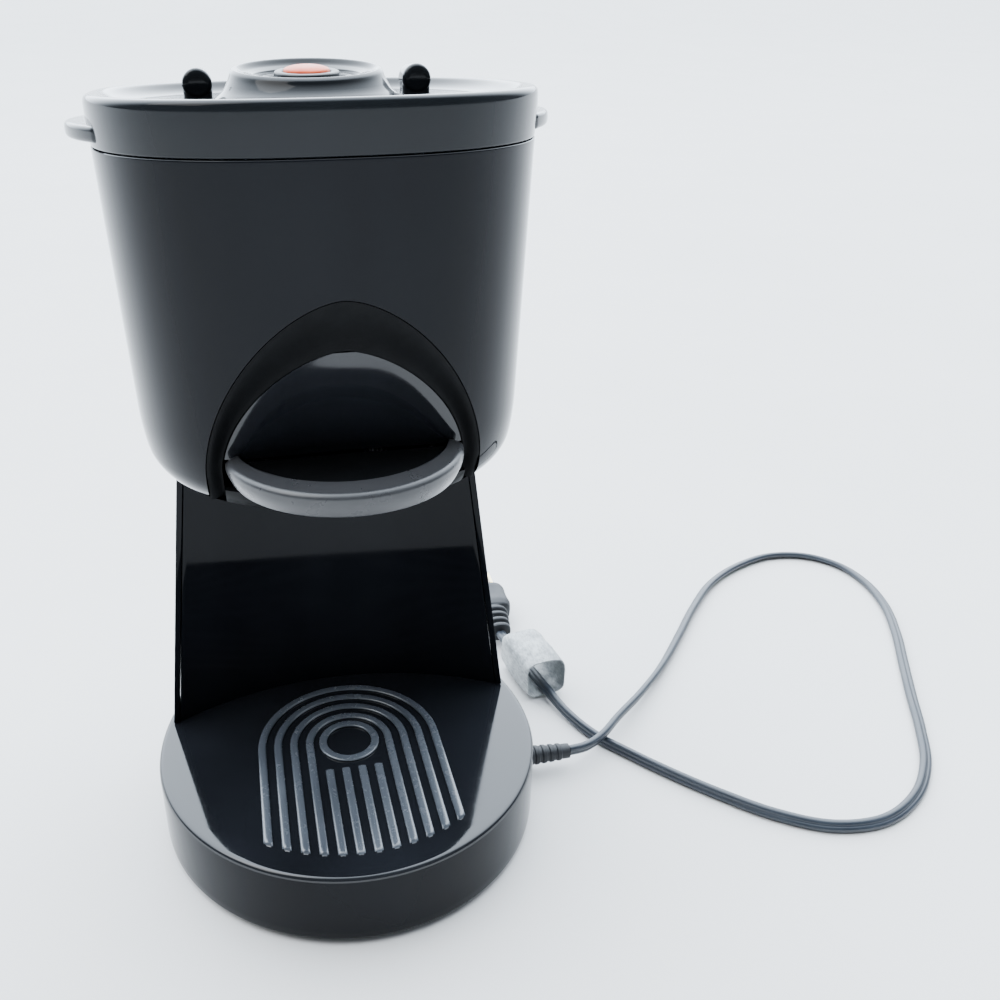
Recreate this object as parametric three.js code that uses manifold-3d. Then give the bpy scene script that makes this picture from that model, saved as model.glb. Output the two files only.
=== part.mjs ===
// One-cup hot-water dispenser: round base, hollow column, water head with a press-down dispense bar,
// and a lift-off lid that carries the heat button. Millimetres, +Z up, front of the machine towards -Y.
import * as THREE from 'three';
import { mergeVertices } from 'three/addons/utils/BufferGeometryUtils.js';
import Module from 'manifold-3d';

const wasm = await Module();
wasm.setup();

// ---- driving dimensions -------------------------------------------------------------------------
const wall = 2.5;
const gap = 0.3;
const outlinePower = 2.5;          // superellipse power of the head, lid, tank and column outlines
const outlineSteps = 40;

const baseRadius = 82;
const baseCentreY = -8;
const baseRearDepth = 91.5;
const baseTop = 35;
const baseBottom = 3;
const plateRibHeight = 1.2;
const ribPitch = 6.9;

const columnCentreY = 13;
const columnBottomHalfWidth = 76.5;
const columnTopHalfWidth = 60.5;
const columnBottomRear = 66;
const columnTopRear = 60;
const bayRadius = 144;             // the concave wall behind the cup
const bayCentreY = 35 - bayRadius;

const headCentreY = 13.5;
const headBottom = 168;
const headTop = 283.2;
const headHalfWidthAtTop = 74;
const headFrontAtTop = 82;
const headRearAtTop = 76;
const headTaper = 0.036;
const headTuckStart = 195;         // below this height the sides draw in faster
const headTuckSpan = 23;
const headTuckDepth = 2.7;
const headFloor = headBottom + wall;

const lidBottom = 283.5;
const lidTop = 298.6;
const lidPlateTop = 294.2;
const lidPlateBottom = 291.5;
const lidLugReach = 82.5;
const lidLugFront = 74;
const lidLugRear = 66;
const pegX = 38;
const pegY = 20;

const archHalfWidth = 46;
const archTop = 243;
const archInnerHalfWidth = 41;
const archInnerTop = 226;
const archSpring = 184;            // height where the arch sides turn upright
const archPower = 1.7;
const archFoot = headFloor + 1;
const lipTop = 179.6;              // the head's wall stands this high under the dispense bar
const scoopBottom = 189;
const scoopEdgeDepth = 6;
const scoopMiddleDepth = 14;

const tankCentreY = 16;
const tankFloorBottom = 203;
const tankFloorTop = 205;
const tankRimTop = 281.4;

const valveY = -13.5;
const rodY = 22;
const lampY = 12.5;
const rimTilt = 0.106;             // forward fall of the button housing's rim, mm per mm
const pivotY = -45;
const pivotZ = 184;
const pinRadius = 2;
const boreRadius = pinRadius + 0.35;

const cordRadius = 2.8;
const cordExit = new THREE.Vector3(104, -8.5, 8.8);
const plugStart = new THREE.Vector3(99, 94, 8.4);
const plugTurn = -2;               // degrees about +Z
const labelCentre = new THREE.Vector3(107, 59, 11.6);
const labelTurn = 9;

// ---- building blocks ----------------------------------------------------------------------------
function solidOf(geometry) {
  const bare = geometry.clone();
  bare.deleteAttribute('normal');
  bare.deleteAttribute('uv');
  const merged = mergeVertices(bare, 1e-4);
  const index = merged.index.array;
  const triangles = [];
  for (let i = 0; i < index.length; i += 3) {
    const [a, b, c] = [index[i], index[i + 1], index[i + 2]];
    if (a !== b && b !== c && c !== a) triangles.push([a, b, c]);
  }
  const build = (faces) => new wasm.Manifold(new wasm.Mesh({
    numProp: 3,
    vertProperties: new Float32Array(merged.attributes.position.array),
    triVerts: new Uint32Array(faces.flat()),
  }));
  const solid = build(triangles);
  return solid.volume() > 0 ? solid : build(triangles.map(([a, b, c]) => [a, c, b]));
}

function geometryOf(solid) {
  const mesh = solid.getMesh();
  const geometry = new THREE.BufferGeometry();
  geometry.setAttribute('position', new THREE.BufferAttribute(new Float32Array(mesh.vertProperties), 3));
  geometry.setIndex(new THREE.BufferAttribute(new Uint32Array(mesh.triVerts), 1));
  geometry.computeVertexNormals();
  return geometry;
}

const join = (first, ...others) => others.reduce((whole, other) => whole.add(other), first);
const cut = (first, ...others) => others.reduce((whole, other) => whole.subtract(other), first);

// Triangles that fill a flat ring of points, wound the same way as the ring.
function fillRing(ring) {
  const normal = new THREE.Vector3();
  ring.forEach((point, i) => normal.add(point.clone().cross(ring[(i + 1) % ring.length])));
  const size = normal.toArray().map(Math.abs);
  const dropped = size.indexOf(Math.max(...size));
  const [first, second] = [[1, 2], [2, 0], [0, 1]][dropped];
  const flat = ring.map((point) => new THREE.Vector2(
    point.getComponent(first), point.getComponent(second)));
  const triangles = THREE.ShapeUtils.triangulateShape(flat, []);
  const sameWay = normal.getComponent(dropped) > 0;
  return triangles.map(([a, b, c]) => (sameWay ? [a, b, c] : [a, c, b]));
}

// A closed skin through rings of points, flat at both ends. Rings have equal counts.
function skin(rings) {
  const count = rings[0].length;
  const positions = rings.flat().flatMap((point) => point.toArray());
  const index = [];
  for (let ring = 0; ring < rings.length - 1; ring += 1) {
    for (let i = 0; i < count; i += 1) {
      const a = ring * count + i;
      const b = ring * count + ((i + 1) % count);
      index.push(a, b, b + count, a, b + count, a + count);
    }
  }
  const last = (rings.length - 1) * count;
  fillRing(rings[0]).forEach(([a, b, c]) => index.push(a, c, b));
  fillRing(rings[rings.length - 1]).forEach(([a, b, c]) => index.push(last + a, last + b, last + c));
  const geometry = new THREE.BufferGeometry();
  geometry.setAttribute('position', new THREE.BufferAttribute(new Float32Array(positions), 3));
  geometry.setIndex(index);
  return solidOf(geometry);
}

// One ring of an upright loft: a superellipse whose front and rear depths may differ.
function outlineRing({ z, half, front, rear, centreY, power = outlinePower, steps = outlineSteps }) {
  const ring = [];
  for (let i = 0; i < steps; i += 1) {
    const angle = (2 * Math.PI * i) / steps;
    const c = Math.cos(angle);
    const s = Math.sin(angle);
    const depth = s < 0 ? front : rear;
    ring.push(new THREE.Vector3(
      half * Math.sign(c) * Math.abs(c) ** (2 / power),
      centreY + depth * Math.sign(s) * Math.abs(s) ** (2 / power),
      z,
    ));
  }
  return ring;
}

const loft = (levels) => skin(levels.map(outlineRing));

// A turned piece about an upright axis, from [radius, height] pairs that start and end on the axis,
// or close on themselves.
function turned(profile, x, y, steps = 16) {
  const points = profile.map(([radius, height]) => new THREE.Vector2(radius, height));
  const geometry = new THREE.LatheGeometry(points, steps);
  geometry.rotateX(Math.PI / 2);
  geometry.translate(x, y, 0);
  return solidOf(geometry);
}

const rod = (radius, low, high, x, y, steps = 16) => turned(
  [[0, low], [radius, low], [radius, high], [0, high]], x, y, steps);

function block(xs, ys, zs) {
  const geometry = new THREE.BoxGeometry(xs[1] - xs[0], ys[1] - ys[0], zs[1] - zs[0]);
  geometry.translate((xs[0] + xs[1]) / 2, (ys[0] + ys[1]) / 2, (zs[0] + zs[1]) / 2);
  return solidOf(geometry);
}

// A round bar along +X or +Y.
function bar(radius, axis, from, to, centre, steps = 16) {
  const geometry = new THREE.CylinderGeometry(radius, radius, to - from, steps);
  if (axis === 'x') geometry.rotateZ(Math.PI / 2);
  const middle = (from + to) / 2;
  const place = axis === 'x' ? [middle, centre[0], centre[1]] : [centre[0], middle, centre[1]];
  geometry.translate(...place);
  return solidOf(geometry);
}

function slab(points, low, high) {
  const shape = new THREE.Shape(points.map(([x, y]) => new THREE.Vector2(x, y)));
  const geometry = new THREE.ExtrudeGeometry(shape, { depth: high - low, bevelEnabled: false });
  geometry.translate(0, 0, low);
  return solidOf(geometry);
}

function tubeAlong(curve, radius, sides, steps) {
  const ring = [];
  for (let i = 0; i < sides; i += 1) {
    const angle = (2 * Math.PI * i) / sides;
    ring.push(new THREE.Vector2(radius * Math.cos(angle), radius * Math.sin(angle)));
  }
  const geometry = new THREE.ExtrudeGeometry(new THREE.Shape(ring), { extrudePath: curve, steps });
  return solidOf(geometry);
}

class Helix extends THREE.Curve {
  constructor(radius, low, high, turns, place) {
    super();
    Object.assign(this, { radius, low, high, turns, place });
  }

  getPoint(t, target = new THREE.Vector3()) {
    const angle = 2 * Math.PI * this.turns * t;
    const along = this.low + (this.high - this.low) * t;
    const [a, b] = [this.radius * Math.cos(angle), this.radius * Math.sin(angle)];
    return target.copy(this.place(a, b, along));
  }
}

const spring = (helix, wireRadius) => tubeAlong(helix, wireRadius, 5, helix.turns * 9);

// ---- shared surfaces ----------------------------------------------------------------------------
function headHalfWidth(z) {
  const tuck = Math.max(0, headTuckStart - z) / headTuckSpan;
  return headHalfWidthAtTop - headTaper * (headTop - z) - headTuckDepth * tuck * tuck;
}

function headLevel(z, inset = 0, at = z) {
  const scale = headHalfWidth(at) / headHalfWidthAtTop;
  return {
    z,
    half: headHalfWidthAtTop * scale - inset,
    front: headFrontAtTop * scale - inset,
    rear: headRearAtTop * scale - inset,
    centreY: headCentreY,
  };
}

function headFrontY(x, z, depth) {
  const level = headLevel(z);
  const across = Math.min(1, Math.abs(x) / level.half);
  return headCentreY - level.front * (1 - across ** outlinePower) ** (1 / outlinePower) + depth;
}

// Half-width of the arch outline at a height, and the outline itself from left foot to right foot.
function archWidthAt(half, top, z) {
  if (z <= archSpring) return half;
  return half * (1 - ((z - archSpring) / (top - archSpring)) ** archPower) ** (1 / archPower);
}

function archOutline(half, top, foot, steps) {
  const points = [new THREE.Vector2(-half, foot)];
  for (let i = 0; i <= steps; i += 1) {
    const angle = Math.PI * (1 - i / steps);
    const c = Math.cos(angle);
    const x = half * Math.sign(c) * Math.abs(c) ** (2 / archPower);
    const rise = Math.max(0, Math.sin(angle)) ** (2 / archPower);
    points.push(new THREE.Vector2(x, archSpring + (top - archSpring) * rise));
  }
  points.push(new THREE.Vector2(half, foot));
  return points;
}

function columnLevel(z, inset = 0) {
  const t = (z - baseTop) / (headBottom - baseTop);
  return {
    z,
    half: THREE.MathUtils.lerp(columnBottomHalfWidth, columnTopHalfWidth, t) - inset,
    front: 40,
    rear: THREE.MathUtils.lerp(columnBottomRear, columnTopRear, t) - inset,
    centreY: columnCentreY,
  };
}

const baseLevel = (z, inset) => ({
  z,
  half: baseRadius - inset,
  front: baseRadius - inset,
  rear: baseRearDepth - inset,
  centreY: baseCentreY,
  power: 2,
  steps: 44,
});

// ---- base ---------------------------------------------------------------------------------------
const screwSpots = [[-34, -62], [34, -62], [-34, 62], [34, 62]];
const footSpots = [[-58, -38], [58, -38], [-56, 44], [56, 44]];

// Straight ribs in front of the drip ring, and arches that bend round it, all 1.2 mm proud.
function plateRibs() {
  const low = baseTop - 0.5;
  const high = baseTop + plateRibHeight;
  const halfRib = 1.5;
  const ringY = -13.5;
  const frontEnd = (x) => baseCentreY - Math.sqrt((baseRadius - 11) ** 2 - x ** 2);
  const ribs = [];
  for (const x of [-1.5, -0.5, 0.5, 1.5].map((n) => n * ribPitch)) {
    ribs.push(block([x - halfRib, x + halfRib], [frontEnd(x), ringY - 16], [low, high]));
  }
  for (let n = 2; n < 6; n += 1) {
    const radius = (n + 0.5) * ribPitch;
    const outer = new THREE.Shape();
    outer.moveTo(radius + halfRib, frontEnd(radius));
    outer.absarc(0, ringY, radius + halfRib, 0, Math.PI, false);
    outer.lineTo(-radius - halfRib, frontEnd(radius));
    outer.lineTo(-radius + halfRib, frontEnd(radius));
    outer.absarc(0, ringY, radius - halfRib, Math.PI, 0, true);
    outer.lineTo(radius - halfRib, frontEnd(radius));
    const geometry = new THREE.ExtrudeGeometry(outer, {
      depth: high - low, bevelEnabled: false, curveSegments: 8,
    });
    geometry.translate(0, 0, low);
    ribs.push(solidOf(geometry));
  }
  const ring = turned([[9.8, low], [13, low], [13, high], [9.8, high], [9.8, low]], 0, ringY, 20);
  return [...ribs, ring];
}

function baseShell() {
  const outer = loft([
    baseLevel(baseBottom, 1), baseLevel(5, 0), baseLevel(baseTop - 2.4, 0),
    baseLevel(baseTop - 0.8, 0.8), baseLevel(baseTop, 2.4),
  ]);
  const inner = loft([baseLevel(baseBottom - 1, 2.6), baseLevel(baseTop - wall, 2.6)]);
  const bosses = screwSpots.map(([x, y]) => cut(
    rod(4, baseBottom + 2.8, baseTop - 1, x, y, 10), rod(1.9, 0, 20, x, y, 8)));
  const wireHole = block([-12, 12], [48, 64], [baseTop - 10, baseTop + 5]);
  const cordHole = bar(5.6, 'x', 70, 90, [-8.5, 8.8]);
  return cut(join(cut(outer, inner), ...bosses, ...plateRibs()), wireHole, cordHole);
}

function baseCover() {
  const plate = loft([baseLevel(baseBottom, 3), baseLevel(baseBottom + 2.4, 3)]);
  const glandNotch = block([66, 90], [-18, 1], [0, 10]);
  return cut(plate, glandNotch, ...screwSpots.map(([x, y]) => rod(1.9, 0, 10, x, y, 8)));
}

const foot = ([x, y]) => turned([[0, 0], [7, 0], [8, 1], [8, 2.7], [0, 2.7]], x, y, 14);

const baseScrew = ([x, y]) => turned(
  [[0, 0.9], [2.6, 0.9], [3.2, 1.5], [3.2, 2.7], [1.5, 2.7], [1.5, 16], [0, 17]], x, y, 8);

const terminalBlock = () => cut(
  block([-20, 20], [56, 68], [8, 18]),
  ...[-13, -4.5, 4.5, 13].map((x) => rod(2, 14, 20, x, 62, 8)));

// ---- column -------------------------------------------------------------------------------------
const columnLevels = (inset) => [baseTop + gap, 80, 124, headBottom - gap - 0.1]
  .map((z) => columnLevel(z, inset));
const bayCutter = (extra) => rod(bayRadius + extra, 0, 300, 0, bayCentreY, 120);

const rearShell = () => cut(
  loft(columnLevels(0)),
  loft([columnLevel(0, wall), ...columnLevels(wall), columnLevel(200, wall)]),
  bayCutter(0));

const columnFront = () => cut(
  loft(columnLevels(wall + gap)).intersect(bayCutter(wall)), bayCutter(0));

// ---- head ---------------------------------------------------------------------------------------
function headShell() {
  const sides = [176, 186, 195, 230, headTop];
  const outer = loft([
    headLevel(headBottom, 5), headLevel(headBottom + 1.5, 2.2, 170), headLevel(headBottom + 4, 0.5),
    ...sides.map((z) => headLevel(z)),
  ]);
  const inner = loft([
    headLevel(headFloor, 5.5, 172), ...sides.map((z) => headLevel(z, wall)),
    headLevel(headTop + 5, wall),
  ]);
  const archOpening = archOutline(archHalfWidth + 0.35, archTop + 0.35, archFoot - 0.6, 24);
  const opening = geometryOf(slab(archOpening.map((point) => [point.x, point.y]), 0, 60));
  opening.rotateX(Math.PI / 2);
  opening.translate(0, -30, 0);
  const lipReach = archInnerHalfWidth - 0.5;
  const lip = block([-lipReach, lipReach], [-100, 0], [headBottom, lipTop]);
  const posts = [-1, 1].map((side) => {
    const xs = side < 0 ? [-30, -26] : [26, 30];
    return block(xs, [pivotY - 4, pivotY + 4], [headFloor - 0.5, pivotZ + 4]);
  });
  return cut(
    join(cut(outer, inner, cut(solidOf(opening), lip)), ...posts),
    bar(boreRadius, 'x', -40, 40, [pivotY, pivotZ]),
    rod(8.4, 150, 180, 0, valveY),
    block([-12, 12], [42, 60], [150, 180]));
}

// The dull frame round the scoop: its outer edge lies just under the head's skin, its inner edge deeper.
function archBezel() {
  const steps = 22;
  const outer = archOutline(archHalfWidth, archTop, archFoot, steps);
  const inner = archOutline(archInnerHalfWidth, archInnerTop, archFoot, steps);
  const rings = outer.map((edge, i) => [
    [edge, 0.5], [inner[i], scoopEdgeDepth], [inner[i], scoopEdgeDepth + 2.4], [edge, 3],
  ].map(([point, depth]) => new THREE.Vector3(
    point.x, headFrontY(point.x, point.y, depth), point.y)));
  return skin(rings);
}

// The glossy dished panel inside the frame, deepest at the bottom middle.
function scoopPanel() {
  const across = 16;
  const heights = [scoopBottom, 195, 202, 209, 215, 220, 223.5];
  const rings = heights.map((z) => {
    const half = archWidthAt(archInnerHalfWidth, archInnerTop, z) - 0.6;
    const fall = 1 - (z - scoopBottom) / (archInnerTop - scoopBottom);
    const row = (extra, direction) => {
      const points = [];
      for (let i = 0; i <= across; i += 1) {
        const x = direction * half * ((2 * i) / across - 1);
        const dish = (scoopMiddleDepth - scoopEdgeDepth) * fall * (1 - (x / half) ** 2);
        points.push(new THREE.Vector3(x, headFrontY(x, z, scoopEdgeDepth + dish + extra), z));
      }
      return points;
    };
    return [...row(0, 1), ...row(2.2, -1)];
  });
  return skin(rings);
}

// ---- tank, heater and valve ---------------------------------------------------------------------
function tankLevel(z, half, inset = 0) {
  return { z, half: half - inset, front: half - 8 - inset, rear: half - 8 - inset, centreY: tankCentreY };
}

function tank() {
  const cup = loft([
    tankLevel(tankFloorBottom, 62), tankLevel(209, 66), tankLevel(tankRimTop - 1, 68),
  ]);
  const flange = loft([headLevel(tankRimTop - 2.4, 3.2), headLevel(tankRimTop, 3.2)]);
  const inside = loft([
    tankLevel(tankFloorTop, 60, 0), tankLevel(210, 66, 2), tankLevel(tankRimTop + 1, 68, 2),
  ]);
  const standpipe = rod(5.5, tankFloorBottom + 0.5, 276, 0, rodY);
  return cut(
    join(cut(join(cup, flange), inside), standpipe),
    rod(3.2, 190, 290, 0, rodY), rod(6, 190, 210, 0, valveY));
}

const heaterPlate = () => cut(
  rod(46, 199.9, tankFloorBottom - gap, 0, tankCentreY, 28),
  rod(13.2, 190, 210, 0, valveY), rod(4, 190, 210, 0, rodY));

// A sheathed element bent to an open ring, with a terminal pin under each end.
function heatingElement() {
  const ringRadius = 31;
  const [start, end] = [-50, 230].map(THREE.MathUtils.degToRad);
  class Bend extends THREE.Curve {
    getPoint(t, target = new THREE.Vector3()) {
      const angle = start + (end - start) * t;
      return target.set(ringRadius * Math.cos(angle), tankCentreY + ringRadius * Math.sin(angle), 196);
    }
  }
  const pins = [start, end].map((angle) => {
    const inner = angle + (angle === start ? 0.06 : -0.06);
    const [x, y] = [ringRadius * Math.cos(inner), tankCentreY + ringRadius * Math.sin(inner)];
    return rod(1.5, 184, 196, x, y, 6);
  });
  return join(tubeAlong(new Bend(), 3.5, 8, 20), ...pins);
}

const thermostat = () => turned([[0, 190], [5, 190], [5, 192], [9, 192], [9, 199.5], [0, 199.5]], 15, 22);
const thermalFuse = () => bar(3, 'y', 11, 29, [-15, 196.3], 14);

function valveBody() {
  const tube = turned(
    [[6, 176], [8, 176], [8, 199.9], [12.6, 199.9], [12.6, 202.7], [6, 202.7], [6, 176]], 0, valveY);
  const spider = cut(rod(6.5, 196.5, 198.5, 0, valveY), rod(2.4, 190, 205, 0, valveY, 16),
    ...[-1, 1].map((side) => block([3.2 * side - 0.9, 3.2 * side + 0.9],
      [valveY - 3.4, valveY + 3.4], [190, 205])));
  return cut(join(tube, spider), block([-5, 5], [valveY - 12, valveY], [181, 191.5]));
}

const valvePlunger = () => turned([
  [0, 186], [4.6, 186], [4.6, 188.3], [2, 188.3], [2, 208.6], [5.5, 208.6], [5.5, 210.2], [0, 211],
], 0, valveY);
const valveSeal = () => turned(
  [[2.3, 205.3], [9, 205.3], [9, 207.5], [8, 208.3], [2.3, 208.3], [2.3, 205.3]], 0, valveY);
const valveSpring = () => spring(
  new Helix(3.6, 189.1, 195.7, 4, (a, b, along) => new THREE.Vector3(a, valveY + b, along)), 0.4);

const spout = () => turned([
  [4, 158], [6, 158], [7.6, 167], [7.6, 170.8], [11, 170.8], [11, 172.8], [8, 172.8], [8, 175.7],
  [6, 175.7], [4, 170], [4, 158],
], 0, valveY);

// ---- dispense lever -----------------------------------------------------------------------------
const barEnd = 40;
const barEndY = -54;
const barFrontY = -89;
const barBackY = -78.5;

// The circle through both ends and the middle of an arc: its radius and the y of its centre.
function arcThrough(halfChord, chordY, middleY) {
  const rise = chordY - middleY;
  const radius = (halfChord ** 2 + rise ** 2) / (2 * rise);
  return { radius, centreY: middleY + radius };
}

function crescentOutline(shrink) {
  const front = arcThrough(barEnd - shrink, barEndY, barFrontY + shrink);
  const back = arcThrough(barEnd - shrink, barEndY, barBackY);
  const steps = 24;
  const row = (arc, direction) => {
    const reach = Math.asin(Math.min(1, (barEnd - shrink) / arc.radius));
    const points = [];
    for (let i = 1; i < steps; i += 1) {
      const angle = direction * reach * ((2 * i) / steps - 1);
      points.push([arc.radius * Math.sin(angle), arc.centreY - arc.radius * Math.cos(angle)]);
    }
    return points;
  };
  const tip = 2;
  return [
    [-barEnd + shrink, barEndY], ...row(front, 1), [barEnd - shrink, barEndY],
    [barEnd - shrink - tip, barEndY + 3], ...row(back, -1), [-barEnd + shrink + tip, barEndY + 3],
  ];
}

function dispenseBar() {
  const heights = [[181.8, 2.6], [184, 0.9], [187.5, 0], [189.6, 0.8], [190.4, 2.4]];
  const rings = heights.map(([z, shrink]) => crescentOutline(shrink)
    .map(([x, y]) => new THREE.Vector3(x, y, z)));
  return skin(rings);
}

// Dark plate behind the bar, its knuckles on the pin, and the tongue that lifts the valve.
function leverArm() {
  const inner = arcThrough(barEnd, barEndY, barBackY);
  const edge = inner.radius - 1.1;
  const outline = [];
  for (let x = -34; x <= 34; x += 4) {
    outline.push([x, inner.centreY - Math.sqrt(edge ** 2 - x ** 2)]);
  }
  outline.push([34, -52], [24, -50.5], [24, pivotY], [-24, pivotY], [-24, -50.5], [-34, -52]);
  const plate = slab(outline, 183, 185.5);
  const knuckles = [[-24, -15], [-7, 7], [15, 24]].map(([from, to]) => bar(
    3.5, 'x', from, to, [pivotY, pivotZ]));
  const tongue = block([-3.5, 3.5], [pivotY, valveY + 0.5], [183.2, 185.7]);
  const springSlots = [[-14.6, -7.4], [7.4, 14.6]].map((xs) => block(
    xs, [pivotY - 6, pivotY + 8], [170, 200]));
  return cut(
    join(plate, ...knuckles, tongue), ...springSlots,
    bar(boreRadius, 'x', -40, 40, [pivotY, pivotZ]));
}

const leverPin = () => bar(pinRadius, 'x', -32, 32, [pivotY, pivotZ], 18);
const leverSpring = () => spring(
  new Helix(3.3, 8.4, 13.6, 4, (a, b, along) => new THREE.Vector3(along, pivotY + a, pivotZ + b)), 0.5);

// ---- heat switch --------------------------------------------------------------------------------
const lightRod = () => turned(
  [[0, 188.5], [4, 188.5], [4, 190.5], [2.5, 190.5], [2.5, 291], [0, 291.6]], 0, rodY, 16);
const switchBody = () => join(
  block([-11, 11], [5, 29], [172, 185]), block([-3, 3], [-1, 6], [176, 178]));
const indicatorLamp = () => turned([[0, 185.3], [2.6, 185.3], [2.6, 193], [0, 195.6]], 0, lampY, 14);

const wiringLoom = () => tubeAlong(new THREE.CatmullRomCurve3([
  [0, 56, 19], [0, 56, 60], [1.5, 56, 110], [0, 54, 150], [0, 50, 168], [0, 42, 177], [0, 33, 179],
  [0, 29.6, 179]].map((p) => new THREE.Vector3(...p))), 3.4, 8, 22);

const supplyLead = () => tubeAlong(new THREE.CatmullRomCurve3([
  [70, -8.5, 9], [64, -2, 9], [52, 20, 10], [36, 42, 11], [29, 56, 12.5], [23.6, 60, 13]]
  .map((p) => new THREE.Vector3(...p))), 2.6, 8, 16);

// ---- lid ----------------------------------------------------------------------------------------
function lidShell() {
  const level = (z, inset) => headLevel(z, inset, headTop);
  const outer = loft([
    level(lidBottom, 0), level(285, -0.3), level(293, -0.5), level(296.2, -0.4), level(297.9, 0.5),
    level(lidTop, 2.4),
  ]);
  const dish = loft([level(lidPlateTop, 13), level(296.4, 7.5), level(lidTop + 0.4, 4.6)]);
  const hollow = loft([level(lidBottom - 1, 3), level(288, 3), level(lidPlateBottom, 14)]);
  const lugs = slab(
    outlineRing({
      z: 0, half: lidLugReach, front: lidLugFront, rear: lidLugRear, centreY: headCentreY,
      power: 2, steps: 72,
    }).map((point) => [point.x, point.y]), 285.6, 289);
  const lugHollow = loft([level(280, 1.5), level(292, 1.5)]);
  return cut(
    join(cut(outer, dish, hollow), cut(lugs, lugHollow)),
    rod(3.9, 280, 300, 0, rodY));
}

const lidGasket = () => cut(
  loft([headLevel(281.7, 3.4, headTop), headLevel(285.6, 3.4, headTop)]),
  loft([headLevel(280, 9, headTop), headLevel(290, 9, headTop)]));

const lidPeg = (x) => join(
  bar(5.2, 'y', pegY - 6, pegY + 6, [x, 299.8], 18),
  block([x - 4, x + 4], [pegY - 5, pegY + 5], [lidPlateTop + gap, 297]));

// Tips the top of an upright piece forwards about the rod: the higher the point, the more it tips.
function tipped(solid) {
  const geometry = geometryOf(solid);
  const place = geometry.attributes.position;
  for (let i = 0; i < place.count; i += 1) {
    const share = THREE.MathUtils.clamp((place.getZ(i) - 296) / 8, 0, 1);
    place.setZ(i, place.getZ(i) + (place.getY(i) - rodY) * rimTilt * share);
  }
  return solidOf(geometry);
}

// The raised button housing: a flared skirt up to a rim, dished inside.
function buttonHousing() {
  const skirt = turned([
    [9, 294.5], [33, 294.5], [31.6, 296.2], [29, 299], [26.8, 302.2], [25.8, 303.8], [25, 304.3],
    [24, 303.9], [22.5, 302.4], [12.2, 300.6], [12.2, 298.2], [9, 298.2], [9, 294.5],
  ], 0, rodY, 24);
  const hollow = turned([
    [14.2, 290], [30.2, 290], [28.9, 296.2], [25.8, 299.6], [22.6, 300.2], [14.2, 298.7], [14.2, 290],
  ], 0, rodY, 24);
  return tipped(cut(skirt, hollow));
}

const buttonRing = () => tipped(turned([
  [8.6, 298.5], [11.5, 298.5], [11.5, 302.6], [10.8, 303.2], [9.4, 303.2], [8.6, 302.6], [8.6, 298.5],
], 0, rodY, 20));

const heatButton = () => tipped(turned([
  [0, 291.9], [2.6, 291.9], [2.6, 300.4], [8.2, 300.4], [8.2, 303.4], [7, 304.4], [0, 305],
], 0, rodY, 24));

const buttonSpring = () => spring(
  new Helix(4.6, 295.1, 299.4, 3, (a, b, along) => new THREE.Vector3(a, rodY + b, along)), 0.45);

// ---- supply cord --------------------------------------------------------------------------------
// A grooved gland: the base's wall sits in its groove, and its ribbed tail tapers out along the cord.
const glandSteps = [
  [-33.5, 4.2], [-29.6, 4.2], [-29.6, 6.8], [-25.6, 6.8], [-25.6, 5.1], [-21.6, 5.1], [-21.6, 7],
  [-18.5, 6.6], [-17, 5.2], [-15, 5], [-14.6, 4.2], [-12.6, 4.2], [-12.2, 4.8], [-9, 4.7],
  [-8.6, 3.9], [-6.6, 3.9], [-6.2, 4.5], [-2, 4.4], [0, 3.8],
];

function strainRelief() {
  const bore = 3.1;
  const [inner] = glandSteps[0];
  const outside = [...glandSteps].reverse().map(([along, radius]) => [radius, along]);
  const body = geometryOf(turned([[bore, 0], ...outside, [bore, inner], [bore, 0]], 0, 0, 12));
  body.rotateY(Math.PI / 2);
  body.translate(cordExit.x, cordExit.y, cordExit.z);
  return solidOf(body);
}

const cordRoute = [
  [104.3, -8.5, 8.8], [112, -7.5, 8.8], [119, -4.2, 8.8], [125.5, 0.6, 8.8], [136, 11, 8], [157, 31, 5.2],
  [179, 54, 3.2], [200, 79, 2.9], [222, 106, 2.9], [246, 131, 2.9], [273, 148, 2.9], [300, 156, 2.9],
  [322, 151, 2.9], [336, 136, 2.9], [340, 113, 2.9], [335, 86, 2.9], [323, 58, 2.9], [309, 32, 2.9],
  [295, 6, 2.9], [282, -19, 2.9], [268, -42, 2.9], [250, -60, 2.9], [227, -71, 2.9], [203, -70, 2.9],
  [182, -59, 2.9], [164, -43, 2.9], [148, -26, 2.9], [134, -9, 2.9], [123, 6, 2.9], [115, 24, 3.6],
  [110, 43, 5.4], [106.5, 62, 5.5], [102.5, 78, 6.9], [99.6, 89, 8.2], [98.95, 93.6, 8.4],
].map(([x, y, z]) => new THREE.Vector3(x, y, z));

const powerCord = () => tubeAlong(
  new THREE.CatmullRomCurve3(cordRoute, false, 'centripetal'), cordRadius, 8, 60);

// Pieces on the cord are built about a local +Y axis, then turned and placed by their meshes.
const plugSection = (y, half, thick, power) => {
  const ring = [];
  for (let i = 0; i < 14; i += 1) {
    const angle = (2 * Math.PI * i) / 14;
    const [c, s] = [Math.cos(angle), Math.sin(angle)];
    ring.push(new THREE.Vector3(
      half * Math.sign(c) * Math.abs(c) ** (2 / power), y, thick * Math.sign(s) * Math.abs(s) ** (2 / power)));
  }
  return ring;
};

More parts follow.
